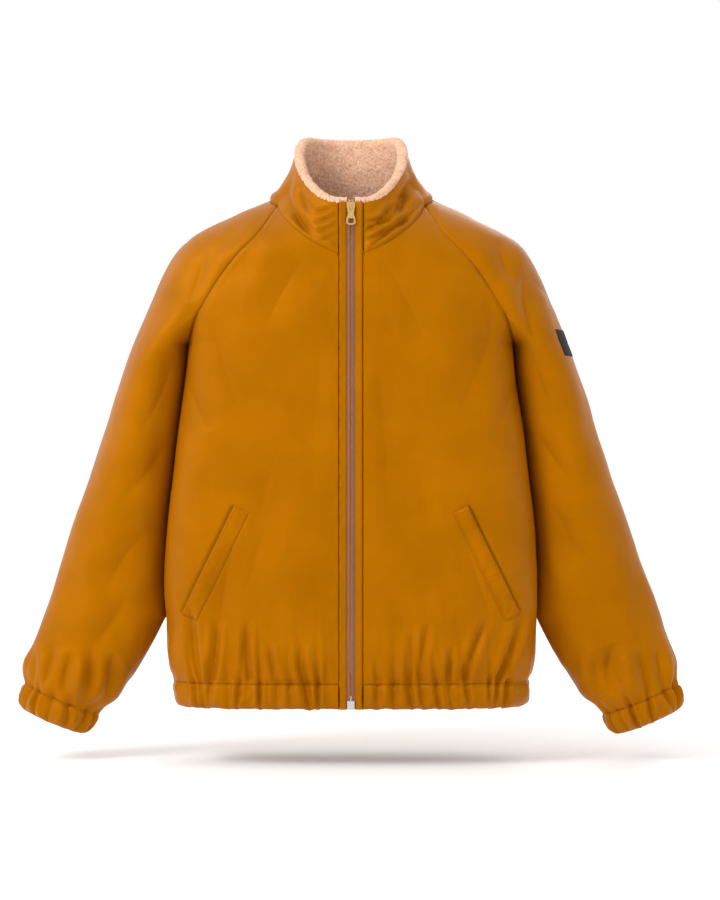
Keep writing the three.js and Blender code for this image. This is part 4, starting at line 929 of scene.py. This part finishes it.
def sleeve_folds(points, side):
    x, y, z = points.T
    out = strokes(x, z, SLEEVE_STROKES[side]) * np.where(y < 8, 1.0, 0.0)
    back = strokes(-x, z, SLEEVE_STROKES[-side]) * np.where(y >= 8, 1.0, 0.0)
    out = (out + back) * FOLD_GAIN * smooth(np.abs(y - 8) / 26)
    height = np.maximum(above_cuff(points, side), 0)
    pleats = PLEAT_DEPTH * cuff_pleats(points, side)
    low = np.exp(-height / 55)
    out += pleats * np.exp(-height / 22.0)
    out += 4.0 * np.exp(-(((height - 30) / 24) ** 2))
    out += 2.8 * wobble(points, 100, 4 + side) + (1.0 + 2.6 * low) * wobble(points * [1, 1, 0.5], 30, 9 + side)
    out += (0.25 + 1.5 * low) * crumple(points * [1, 1, 0.5], 26, 3)
    seam = distance_to(points, RAGLANS)
    near = smooth((z - UNDERARM_Z + 25) / 50)
    out *= mix(1.0, smooth(seam / 14), near)
    out += near * (1.5 * smooth(seam / 5) - 0.4)
    out = mix(pleats, out, smooth(height / 9))
    # The sleeve lies against the body's side, so its inner face stays flat.
    inner = np.abs(x) - (torso_half_width(np.minimum(z, UNDERARM_Z)) + ARM_GAP)
    beside = smooth((UNDERARM_Z + 45 - z) / 50) * smooth((z + 640) / 60)
    return out * mix(1.0, smooth((inner + 3) / 26), beside)


SLEEVES = {}


def sleeves():
    for side, name in ((1, "left"), (-1, "right")):
        tube = Sheet(sleeve_blocks(168, 52, 16, 170))
        tube.relax(sleeve_near_underarm(tube.points), 90)
        if side < 0:
            tube.mirror()
        near_cuff = 1 - smooth(above_cuff(tube.points, side) / 24)
        tube.push(sleeve_folds(tube.points, side), tube.steered(cuff_outward(tube.points, side), near_cuff))
        SLEEVES[side] = tube
        obj = thick(tube.build(f"sleeve_{name}_cloth", SHELL), 1.2)
        belongs(obj, "jacket", "shell_cloth", f"sleeve_front_{name}", f"sleeve_back_{name}")


body_shell()
sleeves()


# ---- Collar -------------------------------------------------------------------------------

COLLAR_EDGE_X = PLACKET_EDGE + 1.4

COLLAR_STROKES = [
    (-70, 16, -56, -28, 6, 2.6, 3), (-92, 14, -56, -58, 8, 3.2, 5), (-80, -22, -44, -70, 5, 1.8, 2),
    (-104, 2, -76, -48, 7, 2.2, 4), (-58, 40, -42, -8, 6, 1.2, 3), (-48, -28, -22, -20, 3, 1.0, 0),
    (-50, -42, -21, -33, 3, 1.2, 0), (-48, -56, -21, -47, 3, 1.0, 0), (-44, -68, -22, -60, 3, 0.8, 0),
    (58, -14, 36, -44, 4, 2.6, 0), (78, 12, 64, -30, 6, 2.6, -2), (88, 34, 68, -10, 6, 2.4, -2),
    (15, -42, 44, -34, 3, 1.6, 0), (15, -55, 60, -32, 4, 2.2, -1), (90, -30, 24, -80, 5, 3.2, 4),
    (98, -12, 66, -48, 6, 2.2, 1), (72, -14, 40, -56, 5, 1.8, 2), (62, 40, 46, 0, 6, 1.2, -3),
    (17, -68, 48, -54, 3, 1.4, -1),
]


def neck_seam():
    """Half of the neck's seam, from the centre front round to the centre back."""
    z = mix(-FRONT_NECK_DROP, RAGLAN_TOP_Z, np.linspace(0, 1, 60) ** 2)
    front = body_point(angle_at(np.maximum(neck_x(z), COLLAR_EDGE_X), z, False), z)
    side = np.linspace(-1, 1, 41)[1:]
    z = neck_height(side)
    turn = np.where(side > 0, shoulder_section(z, True)[0], shoulder_section(z, False)[0])
    across = shoulder_point(side * turn, z)
    angles = np.linspace(float(angle_at(float(back_raglan(BACK_NECK_Z)), BACK_NECK_Z, True)), PI / 2, 60)[1:]
    return np.concatenate([front, across, body_point(angles, BACK_NECK_Z)])


def collar_top(turn, lift=0.0):
    middle = (COLLAR_TOP_BACK - FRONT_DEPTH) / 2
    half_depth = (COLLAR_TOP_BACK + FRONT_DEPTH) / 2
    rise = smooth((turn - 0.26) / 1.92)
    return points3(COLLAR_TOP_HALF_WIDTH * np.sin(turn), middle - half_depth * np.cos(turn),
                   mix(COLLAR_FRONT_TOP, COLLAR_BACK_TOP, rise) + lift)


def collar_lines(columns):
    """The collar's seam and its top edge, as matching half lines."""
    start = math.asin(COLLAR_EDGE_X / COLLAR_TOP_HALF_WIDTH)
    edge = respaced(collar_top(np.linspace(start, PI, 240)), columns)
    return respaced(neck_seam(), columns), edge


def collar_rows(columns, shares, inset=0.0):
    """Rows of the collar from its top (share 0) to its seam (share 1), right round the neck."""
    base, edge = collar_lines(columns)
    rows = []
    along = np.linspace(0, 1, columns)
    for share in shares:
        row = mix(edge, base, share)
        inward = points3(-row[:, 0], -(row[:, 1] + 20), 0 * along)
        inward /= np.maximum(np.linalg.norm(inward, axis=1, keepdims=True), 1e-6)
        flare = 5 * np.sin(PI * share) * smooth(along * 4)
        row = row + inward * (flare + inset * smooth(along * 12))[:, None]
        # Beside the zip the inner layers lie straight behind the shell.
        row[:, 1] += inset * (1 - smooth(along * 12))
        rows.append(np.concatenate([row, (row * [-1, 1, 1])[-2::-1]]))
    return np.array(rows)


def collar_folds(points):
    x, y, z = points.T
    out = 2.6 * strokes(x, z, COLLAR_STROKES) * smooth((-y - 12) / 30)
    out += 1.4 * wobble(points, 44, 21) + 0.8 * crumple(points, 24, 22) * (y < 0)
    out *= mix(0.3, 1.0, smooth(distance_to(points, both_sides(collar_lines(200)[1])) / 14))
    seam = distance_to(points, both_sides(neck_seam()))
    hang = np.where(x > 0, 3.4, 1.8) * (y < 0)
    out = out * smooth(seam / 10) + 1.4 * smooth(seam / 5) + hang * np.exp(-(((seam - 8) / 6) ** 2)) * smooth(seam / 4)
    return out * smooth((np.abs(x) - 16.0) / 12) ** (y < 0)


def collar_shell():
    collar = Sheet([collar_rows(210, np.linspace(0, 1, 56))])
    collar.push(collar_folds(collar.points))
    obj = thick(collar.build("collar_shell_cloth", SHELL), 1.2)
    belongs(obj, "jacket", "shell_cloth", "collar_shell")


# ---- Fleece -------------------------------------------------------------------------------

def tufts(points, cell, seed):
    """Height of curly pile, 0 in its valleys and about 1 on its tufts."""
    out = np.empty(len(points))
    offset = Vector((seed * 3.7, seed * 8.9, seed * 1.9))
    for i, p in enumerate(points.tolist()):
        q = Vector(p) / cell + offset
        distances, _ = noise.voronoi(q + 0.35 * noise.noise_vector(q * 1.3))
        out[i] = 1.0 - min(1.0, distances[0] * 1.25)
    return out


def pile_sheet(sheet, depth, cell, seed):
    height = tufts(sheet.points, cell, seed)
    slow = 0.5 + 0.5 * wobble(sheet.points, cell * 4, seed + 2)
    sheet.push(depth * (height + 0.5 * slow))
    # The share returned colours the fleece as painted shade: low in the valleys and high on the tufts, over a slow
    # change of tone.
    return np.clip(0.75 * height + 0.35 * slow, 0, 1)


ROLL = [(-0.6, -2.5), (0.4, 0.6), (1.2, 3.5), (0.6, 6.6), (-1.8, 9.0), (-5.2, 9.8), (-8.6, 8.8), (-11.0, 6.0), (-12.0, 2.0)]


def collar_fleece():
    """The roll over the collar's top edge, and the fleece down its inside."""
    columns = 330
    base, edge = collar_lines(columns)
    middle = np.linspace(5.5, COLLAR_EDGE_X, 12)[:-1]
    base = np.concatenate([points3(middle, base[0, 1], base[0, 2]), base])
    edge = np.concatenate([points3(middle, edge[0, 1], edge[0, 2]), edge])
    columns = len(edge)
    along = np.linspace(0, 1, columns)
    outward = points3(edge[:, 0], edge[:, 1] + 20, 0 * along)
    outward /= np.linalg.norm(outward, axis=1, keepdims=True)
    # At the centre front the roll is thin and level.
    size = mix(0.55, 1.0, smooth(along * 5))
    steps = np.linspace(0, len(ROLL) - 1, 20)
    rows = []
    for step in steps:
        out = float(np.interp(step, np.arange(len(ROLL)), [p[0] for p in ROLL]))
        up = float(np.interp(step, np.arange(len(ROLL)), [p[1] for p in ROLL]))
        row = edge + outward * (out * mix(0.8, 1.0, smooth(along * 5)))[:, None]
        row[:, 2] += up * size
        rows.append(row)
    inner_base = base - points3(base[:, 0], base[:, 1] + 20, 0 * along) * 0.11
    inner_base[:, 2] -= 5.0 * smooth((along - 0.2) / 0.2)
    last = rows[-1]
    for share in np.linspace(0, 1, 62)[1:]:
        row = mix(last, inner_base, share)
        inward = points3(-row[:, 0], -(row[:, 1] + 20), 0 * along)
        inward /= np.maximum(np.linalg.norm(inward, axis=1, keepdims=True), 1e-6)
        rows.append(row + inward * (5 * np.sin(PI * share) * smooth(along * 4))[:, None])
    full = [np.concatenate([row, (row * [-1, 1, 1])[-2::-1]]) for row in rows]
    # Rows run up the outside, over and down, so they are listed backwards to face outwards.
    sheet = Sheet([np.array(full)[:, ::-1]])
    pile = pile_sheet(sheet, 1.7, 2.9, 5)
    obj = sheet.build("collar_fleece_pile", FLEECE, pile)
    belongs(obj, "jacket", "fleece", "collar_lining")


def body_fleece():
    for side, name in ((1, "left"), (-1, "right")):
        rows = front_panel_rows(90, 4.4, LINING_INSET, PLACKET_EDGE + 2.5)[:, ::-1]
        sheet = Sheet([rows])
        if side < 0:
            sheet.mirror()
        sheet.push(-0.9 * pocketless_folds(sheet.points))
        pile = pile_sheet(sheet, 2.2, 9.0, 6 + side)
        obj = thick(sheet.build(f"front_fleece_{name}", FLEECE, pile), 2.0)
        belongs(obj, "jacket", "fleece", f"front_lining_{name}")
    sheet = Sheet([back_panel_rows(151, 4.0, LINING_INSET, BACK_NECK_Z - 3)[:, ::-1]])
    sheet.push(-0.9 * pocketless_folds(sheet.points))
    pile = pile_sheet(sheet, 2.2, 9.0, 12)
    obj = thick(sheet.build("back_fleece", FLEECE, pile), 2.0)
    belongs(obj, "jacket", "fleece", "back_lining")


def sleeve_fleece():
    for side, name in ((1, "left"), (-1, "right")):
        blocks = [b[:, ::-1] for b in sleeve_blocks(96, 24, 8, 96, LINING_INSET + 1.5, 0.985)]
        sheet = Sheet(blocks)
        if side < 0:
            sheet.mirror()
        sheet.push(-0.9 * sleeve_folds(sheet.points, side))
        pile = pile_sheet(sheet, 2.0, 9.0, 14 + side)
        obj = thick(sheet.build(f"sleeve_fleece_{name}", FLEECE, pile), 2.0)
        belongs(obj, "jacket", "fleece", f"sleeve_lining_{name}")


def fleece_seams():
    """Strips of fleece over the lining's raglan seams, where the linings' edges stand apart."""
    for back, at in ((False, "front"), (True, "back")):
        z = np.linspace(BACK_NECK_Z - 2 if back else RAGLAN_TOP_Z - 2, TURN_Z, 70)
        turn, half, _, _ = shoulder_section(z, back)
        way = 1 if back else -1
        body = body_point(armhole_angle(z, back) + way * 0.03, z, LINING_INSET - 0.5)
        sleeve = shoulder_point(way * (turn - 9.0 / half), z, LINING_INSET + 0.5)
        shares = np.linspace(0, 1, 11)
        rows = np.array([mix(body, sleeve, share) for share in shares]).transpose(1, 0, 2)
        rows = rows[:, ::-1] if back else rows
        for side, name in ((1, "left"), (-1, "right")):
            sheet = Sheet([rows])
            if side < 0:
                sheet.mirror()
            pile = pile_sheet(sheet, 1.6, 6.0, 60 + side)
            obj = thick(sheet.build(f"fleece_seam_{at}_{name}", FLEECE, pile), 1.6)
            belongs(obj, "jacket", "fleece")


# ---- Hem band and cuffs -------------------------------------------------------------------

def band_profile(height, puff):
    """Depth below the face and height above the fold, from the top outside round to the top inside."""
    return [
        (0.0, height), (0.9, height - 0.7), (-puff * 0.6, height - 4), (-puff, height * 0.66),
        (-puff, height * 0.4), (-puff * 0.6, height * 0.18), (1.0, 2.2), (3.4, 0.2), (6.0, 0.8),
        (8.0, 4.0), (8.6, height * 0.4), (8.4, height * 0.8), (7.8, height),
    ]


def profile_at(profile, count):
    line = np.array([(d, h, 0.0) for d, h in profile])
    return respaced(line, count)[:, :2]


def hem_band():
    half = respaced(body_point(np.linspace(float(angle_at(PLACKET_EDGE + 0.6, HEM_Z, False)), PI / 2, 500), HEM_Z), 330)
    angles = np.array([float(angle_at(p[0], HEM_Z, p[1] > 0)) for p in half])
    rows = []
    for depth, height in profile_at(band_profile(BAND_HEIGHT, 3.0), 40):
        row = body_point(angles, HEM_Z + height, depth)
        rows.append(np.concatenate([row, (row * [-1, 1, 1])[-2::-1]]))
    band = Sheet([np.array(rows)])
    height = band.points[:, 2] - HEM_Z
    pleats = hem_pleats(band.points)
    flat_end = smooth((np.abs(band.points[:, 0]) - 17) / 14) ** (band.points[:, 1] < 0)
    free = smooth((BAND_HEIGHT - height) / 9)
    rough = 1.4 * crumple(band.points, 19, 33) + 1.8 * wobble(band.points, 42, 34)
    band.push((PLEAT_DEPTH * pleats + rough * free) * flat_end, hem_outward(band.points))
    band.points[:, 2] += (1.5 * pleats + 1.2 * wobble(band.points, 28, 35)) * flat_end * (1 - smooth((height - 2) / 16))
    obj = band.build("hem_band_cloth", SHELL)
    belongs(obj, "jacket", "shell_cloth", "hem_band", "hem_elastic")


def cuff_point(turn, depth, height):
    down = CUFF_LENGTH - height + 0.6
    narrowing = 4.0 * down / CUFF_LENGTH
    across = (CUFF_HALF_WIDTH - narrowing - depth) * np.cos(turn)
    point = CUFF_CENTRE + across[:, None] * SLEEVE_AXIS + down * CUFF_DOWN
    point[:, 1] = (CUFF_HALF_DEPTH - depth) * np.sin(turn)
    return point


def cuffs():
    for side, name in ((1, "left"), (-1, "right")):
        turns = np.linspace(-PI, PI, 361)
        rows = [cuff_point(turns, d, h) for d, h in profile_at(band_profile(CUFF_LENGTH + 0.6, 3.2), 40)]
        cuff = Sheet([np.array(rows)])
        if side < 0:
            cuff.mirror()
        pleats = cuff_pleats(cuff.points, side)
        down = -above_cuff(cuff.points, side)
        rough = 1.4 * crumple(cuff.points, 18, 41 + side) + 1.2 * wobble(cuff.points, 36, 44)
        outward = cuff_outward(cuff.points, side)
        cuff.push(PLEAT_DEPTH * pleats + rough * smooth(down / 9), outward)
        edge = smooth((down - CUFF_LENGTH + 16) / 14)
        cuff.push((-1.4 * pleats) * edge, np.broadcast_to(CUFF_DOWN * [side, 1, 1], outward.shape))
        obj = cuff.build(f"cuff_{name}_cloth", SHELL)
        belongs(obj, "jacket", "shell_cloth", f"cuff_{name}", f"cuff_elastic_{name}")


collar_shell()
collar_fleece()
body_fleece()
sleeve_fleece()
fleece_seams()
hem_band()
cuffs()


# ---- Zip ----------------------------------------------------------------------------------

FACE_Y = -FRONT_DEPTH
ZIP_TOP_Z = -9.5
BOX_TOP_Z = HEM_Z + 12.5
COIL_TOP_Z = ZIP_TOP_Z - 3.3
COIL_PITCH = 1.5


def plackets():
    """The narrow folded strips of shell cloth on each side of the coils."""
    profile = [
        (6.6, -102.9), (6.6, -104.4), (7.4, -105.3), (9.2, -105.5), (11.4, -105.7), (13.2, -106.3),
        (14.8, -105.9), (15.9, -104.9), (16.6, -103.6), (16.9, -102.6),
    ]
    line = respaced(np.array([(x, y, 0.0) for x, y in profile]), 22)
    z = np.linspace(-12.5, HEM_Z + 0.4, 420)
    for side, name in ((1, "left"), (-1, "right")):
        rows = points3(line[None, :, 0], line[None, :, 1], z[:, None])
        strip = Sheet([rows])
        if side < 0:
            strip.mirror()
        p = strip.points
        pucker = 0.35 * np.sin(p[:, 2] / 3.6 + 1.6 * np.sin(p[:, 2] / 23 + side)) + 0.5 * wobble(p, 30, 50 + side)
        inside = np.exp(-((np.abs(p[:, 0]) - 12.5) / 3.6) ** 2)
        strip.push(pucker * inside)
        obj = strip.build(f"placket_{name}_cloth", SHELL)
        belongs(obj, "jacket", "shell_cloth", f"placket_{name}")


def zip_tapes():
    for side, name in ((1, "left"), (-1, "right")):
        x = np.linspace(0.9, 15.2, 30)
        z = np.linspace(ZIP_TOP_Z, HEM_Z + 0.5, 240)
        rows = points3(x[None, :], -102.5 - 0.28 * (np.sin(x * 4.4)[None, :] > 0), z[:, None])
        strip = Sheet([rows])
        if side < 0:
            strip.mirror()
        obj = thick(strip.build(f"zip_tape_{name}_cloth", TAPE), 0.8)
        belongs(obj, "jacket", "zip_tape", f"zip_tape_{name}")


def tube(path, radius, around=7):
    """Points and faces of a round closed-ended tube along a path."""
    path = np.asarray(path, float)
    tangent = np.gradient(path, axis=0)
    tangent /= np.linalg.norm(tangent, axis=1, keepdims=True)
    whole = path[-1] - path[0]
    upright = abs(whole[2]) > 0.85 * np.linalg.norm(whole)
    reference = np.array([0.0, 1.0, 0.0]) if upright else np.array([0.0, 0.0, 1.0])
    side = np.cross(tangent, reference)
    side /= np.linalg.norm(side, axis=1, keepdims=True)
    up = np.cross(side, tangent)
    a = np.linspace(0, 2 * PI, around, endpoint=False)
    radius = np.broadcast_to(radius, len(path))[:, None, None]
    ring = path[:, None] + radius * (np.cos(a)[None, :, None] * side[:, None] + np.sin(a)[None, :, None] * up[:, None])
    points = ring.reshape(-1, 3)
    faces = []
    for i in range(len(path) - 1):
        for j in range(around):
            k = (j + 1) % around
            faces.append((i * around + j, i * around + k, (i + 1) * around + k, (i + 1) * around + j))
    faces.append(tuple(range(around))[::-1])
    faces.append(tuple((len(path) - 1) * around + j for j in range(around)))
    return points, faces


def repeated(points, faces, offsets):
    """Copies of one small mesh at many places."""
    all_points = (points[None] + np.asarray(offsets)[:, None]).reshape(-1, 3)
    n = len(points)
    return all_points, [tuple(v + n * k for v in f) for k in range(len(offsets)) for f in faces]


def zip_coils():
    turn = np.linspace(0, PI, 9)
    for side, name in ((1, "left"), (-1, "right")):
        # One element: out from the centre, round at the tape side and back, a little slanted.
        front = [(0.25 + 2.9 * t, -104.6, 0.38 * t) for t in np.linspace(0, 1, 4)]
        bend = [(3.15 + 0.25 * math.sin(a), -103.9 - 0.7 * math.cos(a), 0.38 + 0.2 * a / PI) for a in turn[1:-1]]
        back = [(3.15 - 2.9 * t, -103.2, 0.6) for t in np.linspace(0, 1, 3)]
        path = np.array(front + bend + back) * [side, 1, 1]
        points, faces = tube(path, 0.43, 6)
        count = int((COIL_TOP_Z - BOX_TOP_Z) / COIL_PITCH)
        start = BOX_TOP_Z + (0.3 if side > 0 else 0.3 + COIL_PITCH / 2)
        offsets = [(0, 0, start + COIL_PITCH * i) for i in range(count)]
        all_points, all_faces = repeated(points, faces, offsets)
        obj = add_mesh(f"zip_coil_{name}_elements", all_points, all_faces, COIL)
        belongs(obj, "jacket", "zip_coil", f"zip_coil_{name}")


def stitches(name, line, normals, spacing=3.3, length=2.3, radius=0.3, parent_slot="shell_cloth"):
    """A row of short raised threads along a line of points, in millimetres."""
    reach = np.concatenate([[0], np.cumsum(np.linalg.norm(np.diff(line, axis=0), axis=1))])
    points, faces = [], []
    for start in np.arange(0.6, reach[-1] - length, spacing):
        at = start + length * np.array([0, 0.12, 0.5, 0.88, 1])
        path = np.stack([np.interp(at, reach, line[:, k]) for k in range(3)], axis=1)
        normal = np.stack([np.interp(at, reach, normals[:, k]) for k in range(3)], axis=1)
        path = path + normal * (np.array([-0.25, 0.1, 0.28, 0.1, -0.25])[:, None])
        p, f = tube(path, radius * np.array([0.5, 0.9, 1, 0.9, 0.5]), 5)
        faces += [tuple(v + len(points) * len(p) for v in face) for face in f]
        points.append(p)
    obj = add_mesh(name, np.concatenate(points), faces, THREAD)
    return belongs(obj, "jacket", parent_slot)


def placket_stitches():
    z = np.linspace(-12, HEM_Z + 3, 300)
    for side, name in ((1, "left"), (-1, "right")):
        line = points3(side * 15.3, -105.55, z)
        normals = points3(side * 0.5, -0.85, 0 * z)
        stitches(f"placket_stitches_{name}", line, normals)


def metal_parts():
    for node, material, width in (
        ("slider_body", GOLD, 0.35), ("pull_tab", GOLD, 0.3), ("top_stop_left", GOLD, 0.3),
        ("top_stop_right", GOLD, 0.3), ("retainer_box", SILVER, 0.4), ("insertion_pin", SILVER, 0.25),
    ):
        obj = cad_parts[node]
        obj.data.materials.clear()
        obj.data.materials.append(material)
        bevel = obj.modifiers.new("soft_edges", "BEVEL")
        bevel.width = width * MM
        bevel.segments = 2
        bevel.limit_method = "ANGLE"


# ---- Pockets ------------------------------------------------------------------------------

def pocket_place(down, across, side):
    """x and z of a point on the welt: down runs along it, and across is in millimetres from its middle."""
    ends = np.array([POCKET_TOP, POCKET_BOTTOM])
    x = mix(ends[0][0], ends[1][0], down) + POCKET_ACROSS[0] * across
    z = mix(ends[0][1], ends[1][1], down) + POCKET_ACROSS[1] * across
    return side * x, z


def on_front(x, z, inset=0.0):
    """Points of the plain body's front at places of the front view."""
    angle = angle_at(np.abs(x), z, False)
    point = body_point(angle, z, inset)
    point[..., 0] = x
    return point


def welt_rows(side, downs, acrosses, inset=0.0):
    d, a = np.meshgrid(downs, acrosses, indexing="ij")
    x, z = pocket_place(d, a, side)
    return on_front(x, z, inset)


def welt_height(across):
    """The welt rises from its sewn inner edge to the fold along the pocket's mouth."""
    rise = 0.3 + 2.7 * smooth((across + WELT_WIDTH / 2) / 17)
    return rise * np.sqrt(np.clip(1 - np.clip((across - 8.0) / 3.6, 0, 1) ** 2, 0.02, 1))


def pockets():
    for side, name in ((1, "left"), (-1, "right")):
        downs = np.linspace(-0.004, 1.004, 150)
        acrosses = np.linspace(-WELT_WIDTH / 2, WELT_WIDTH / 2, 30)
        rows = welt_rows(side, downs, acrosses)
        if side < 0:
            rows = rows[:, ::-1]
        welt = Sheet([rows])
        across, down = pocket_coordinates(welt.points, side)
        folded = welt_height(across)
        ends = smooth((0.5 - np.abs(down - 0.5)) * 160 / 3.0)
        pucker = 1.5 * crumple(welt.points, 13, 61 + side) * (smooth((down - 0.3) * 3) if side > 0 else 0.3)
        slump = 0.6 * wobble(welt.points, 34, 63 + side)
        welt.push(pocketless_folds(welt.points) + (folded + (pucker + slump) * smooth((across + 11) / 6)) * ends)
        obj = thick(welt.build(f"pocket_welt_{name}_cloth", SHELL), 1.6)
        belongs(obj, "jacket", "shell_cloth", f"pocket_welt_{name}")
        for place, label in ((-WELT_WIDTH / 2 + 2.2, "inner"), (WELT_WIDTH / 2 - 2.6, "outer")):
            seam = welt_rows(side, np.linspace(0.015, 0.985, 120), np.array([place]))[:, 0]
            high = float(welt_height(place)) + 0.1
            normals = np.broadcast_to(np.array([side * 0.12, -0.99, 0.0]), seam.shape)
            line = seam + normals * (pocketless_folds(seam) + high)[:, None]
            stitches(f"pocket_stitches_{label}_{name}", line, normals, 3.0, 2.1, 0.26)
        bag_downs, bag_across = np.linspace(-0.02, 1.05, 40), np.linspace(-95, 11, 60)
        d, a = np.meshgrid(bag_downs, bag_across, indexing="ij")
        x, z = pocket_place(d, a, side)
        z = z - 62 * smooth((11 - a) / 106)
        rows = on_front(x, z, 7.0)
        if side < 0:
            rows = rows[:, ::-1]
        bag = Sheet([rows])
        bag.push(pocketless_folds(bag.points) + 0.3 * wobble(bag.points, 30, 70 + side))
        obj = thick(bag.build(f"pocket_bag_{name}_cloth", POCKETING), 0.9)
        belongs(obj, "jacket", "pocketing", f"pocket_bag_{name}")


# ---- Labels and the hanger loop -----------------------------------------------------------

def sleeve_label():
    rows = []
    for z, front_turn in zip(np.linspace(-186, -223, 34), np.linspace(-0.74, -0.90, 34)):
        # Lower down the sleeve turns away more, so the patch reaches further forward.
        turns = np.linspace(front_turn, 0.42, 40)
        if z > UNDERARM_Z:
            rows.append(shoulder_point(turns, np.full(len(turns), z)))
        else:
            down = (UNDERARM_Z - z) / (UNDERARM_Z - SLEEVE_END[1])
            rows.append(sleeve_point(turns, np.full(len(turns), down)))
    patch = Sheet([np.array(rows)])
    edge = np.minimum(smooth((patch.points[:, 2] + 223.4) / 1.5), smooth((-185.6 - patch.points[:, 2]) / 1.5))
    sleeve = BVHTree.FromPolygons(SLEEVES[1].points.tolist(), SLEEVES[1].faces)
    patch.points = np.array([sleeve.find_nearest(Vector(p))[0] for p in patch.points.tolist()])
    patch.push(0.5 + 0.5 * edge)
    obj = thick(patch.build("sleeve_label_cloth", LABEL), 0.8)
    belongs(obj, "jacket", "label", "sleeve_label")


def neck_label():
    rows = []
    for z in np.linspace(-18, -43.5, 24):
        x = np.linspace(25, -25, 44)
        point = body_point(angle_at(np.abs(x), z, True), z, LINING_INSET + 5.6)
        point[:, 0] = x
        rows.append(point)
    patch = Sheet([np.array(rows)[:, ::-1]])
    patch.push(0.4 * wobble(patch.points, 12, 80))
    obj = thick(patch.build("neck_label_cloth", LABEL), 0.7)
    belongs(obj, "jacket", "label", "neck_label")


LOOP_Z = -8.0


def hanger_loop():
    """A narrow woven tape sewn at both ends, bowed away from the back of the neck."""
    x = np.linspace(-30, 30, 61)
    wall = body_point(angle_at(np.abs(x), LOOP_Z, True), LOOP_Z, 16.4)[:, 1]
    middle = wall - 15 * np.cos(PI / 2 * x / 30) - 0.6
    a = np.linspace(0, 2 * PI, 21)
    across = 0.6 * np.sign(np.sin(a)) * np.abs(np.sin(a)) ** 0.6
    high = 3.0 * np.sign(np.cos(a)) * np.abs(np.cos(a)) ** 0.6
    rows = points3(x[:, None], middle[:, None] + across[None, :], LOOP_Z + high[None, :])
    tape = Sheet([rows])
    obj = tape.build("hanger_loop_tape", TAPE)
    belongs(obj, "jacket", "zip_tape", "hanger_loop")


plackets()
zip_tapes()
zip_coils()
placket_stitches()
metal_parts()
pockets()
sleeve_label()
neck_label()
hanger_loop()
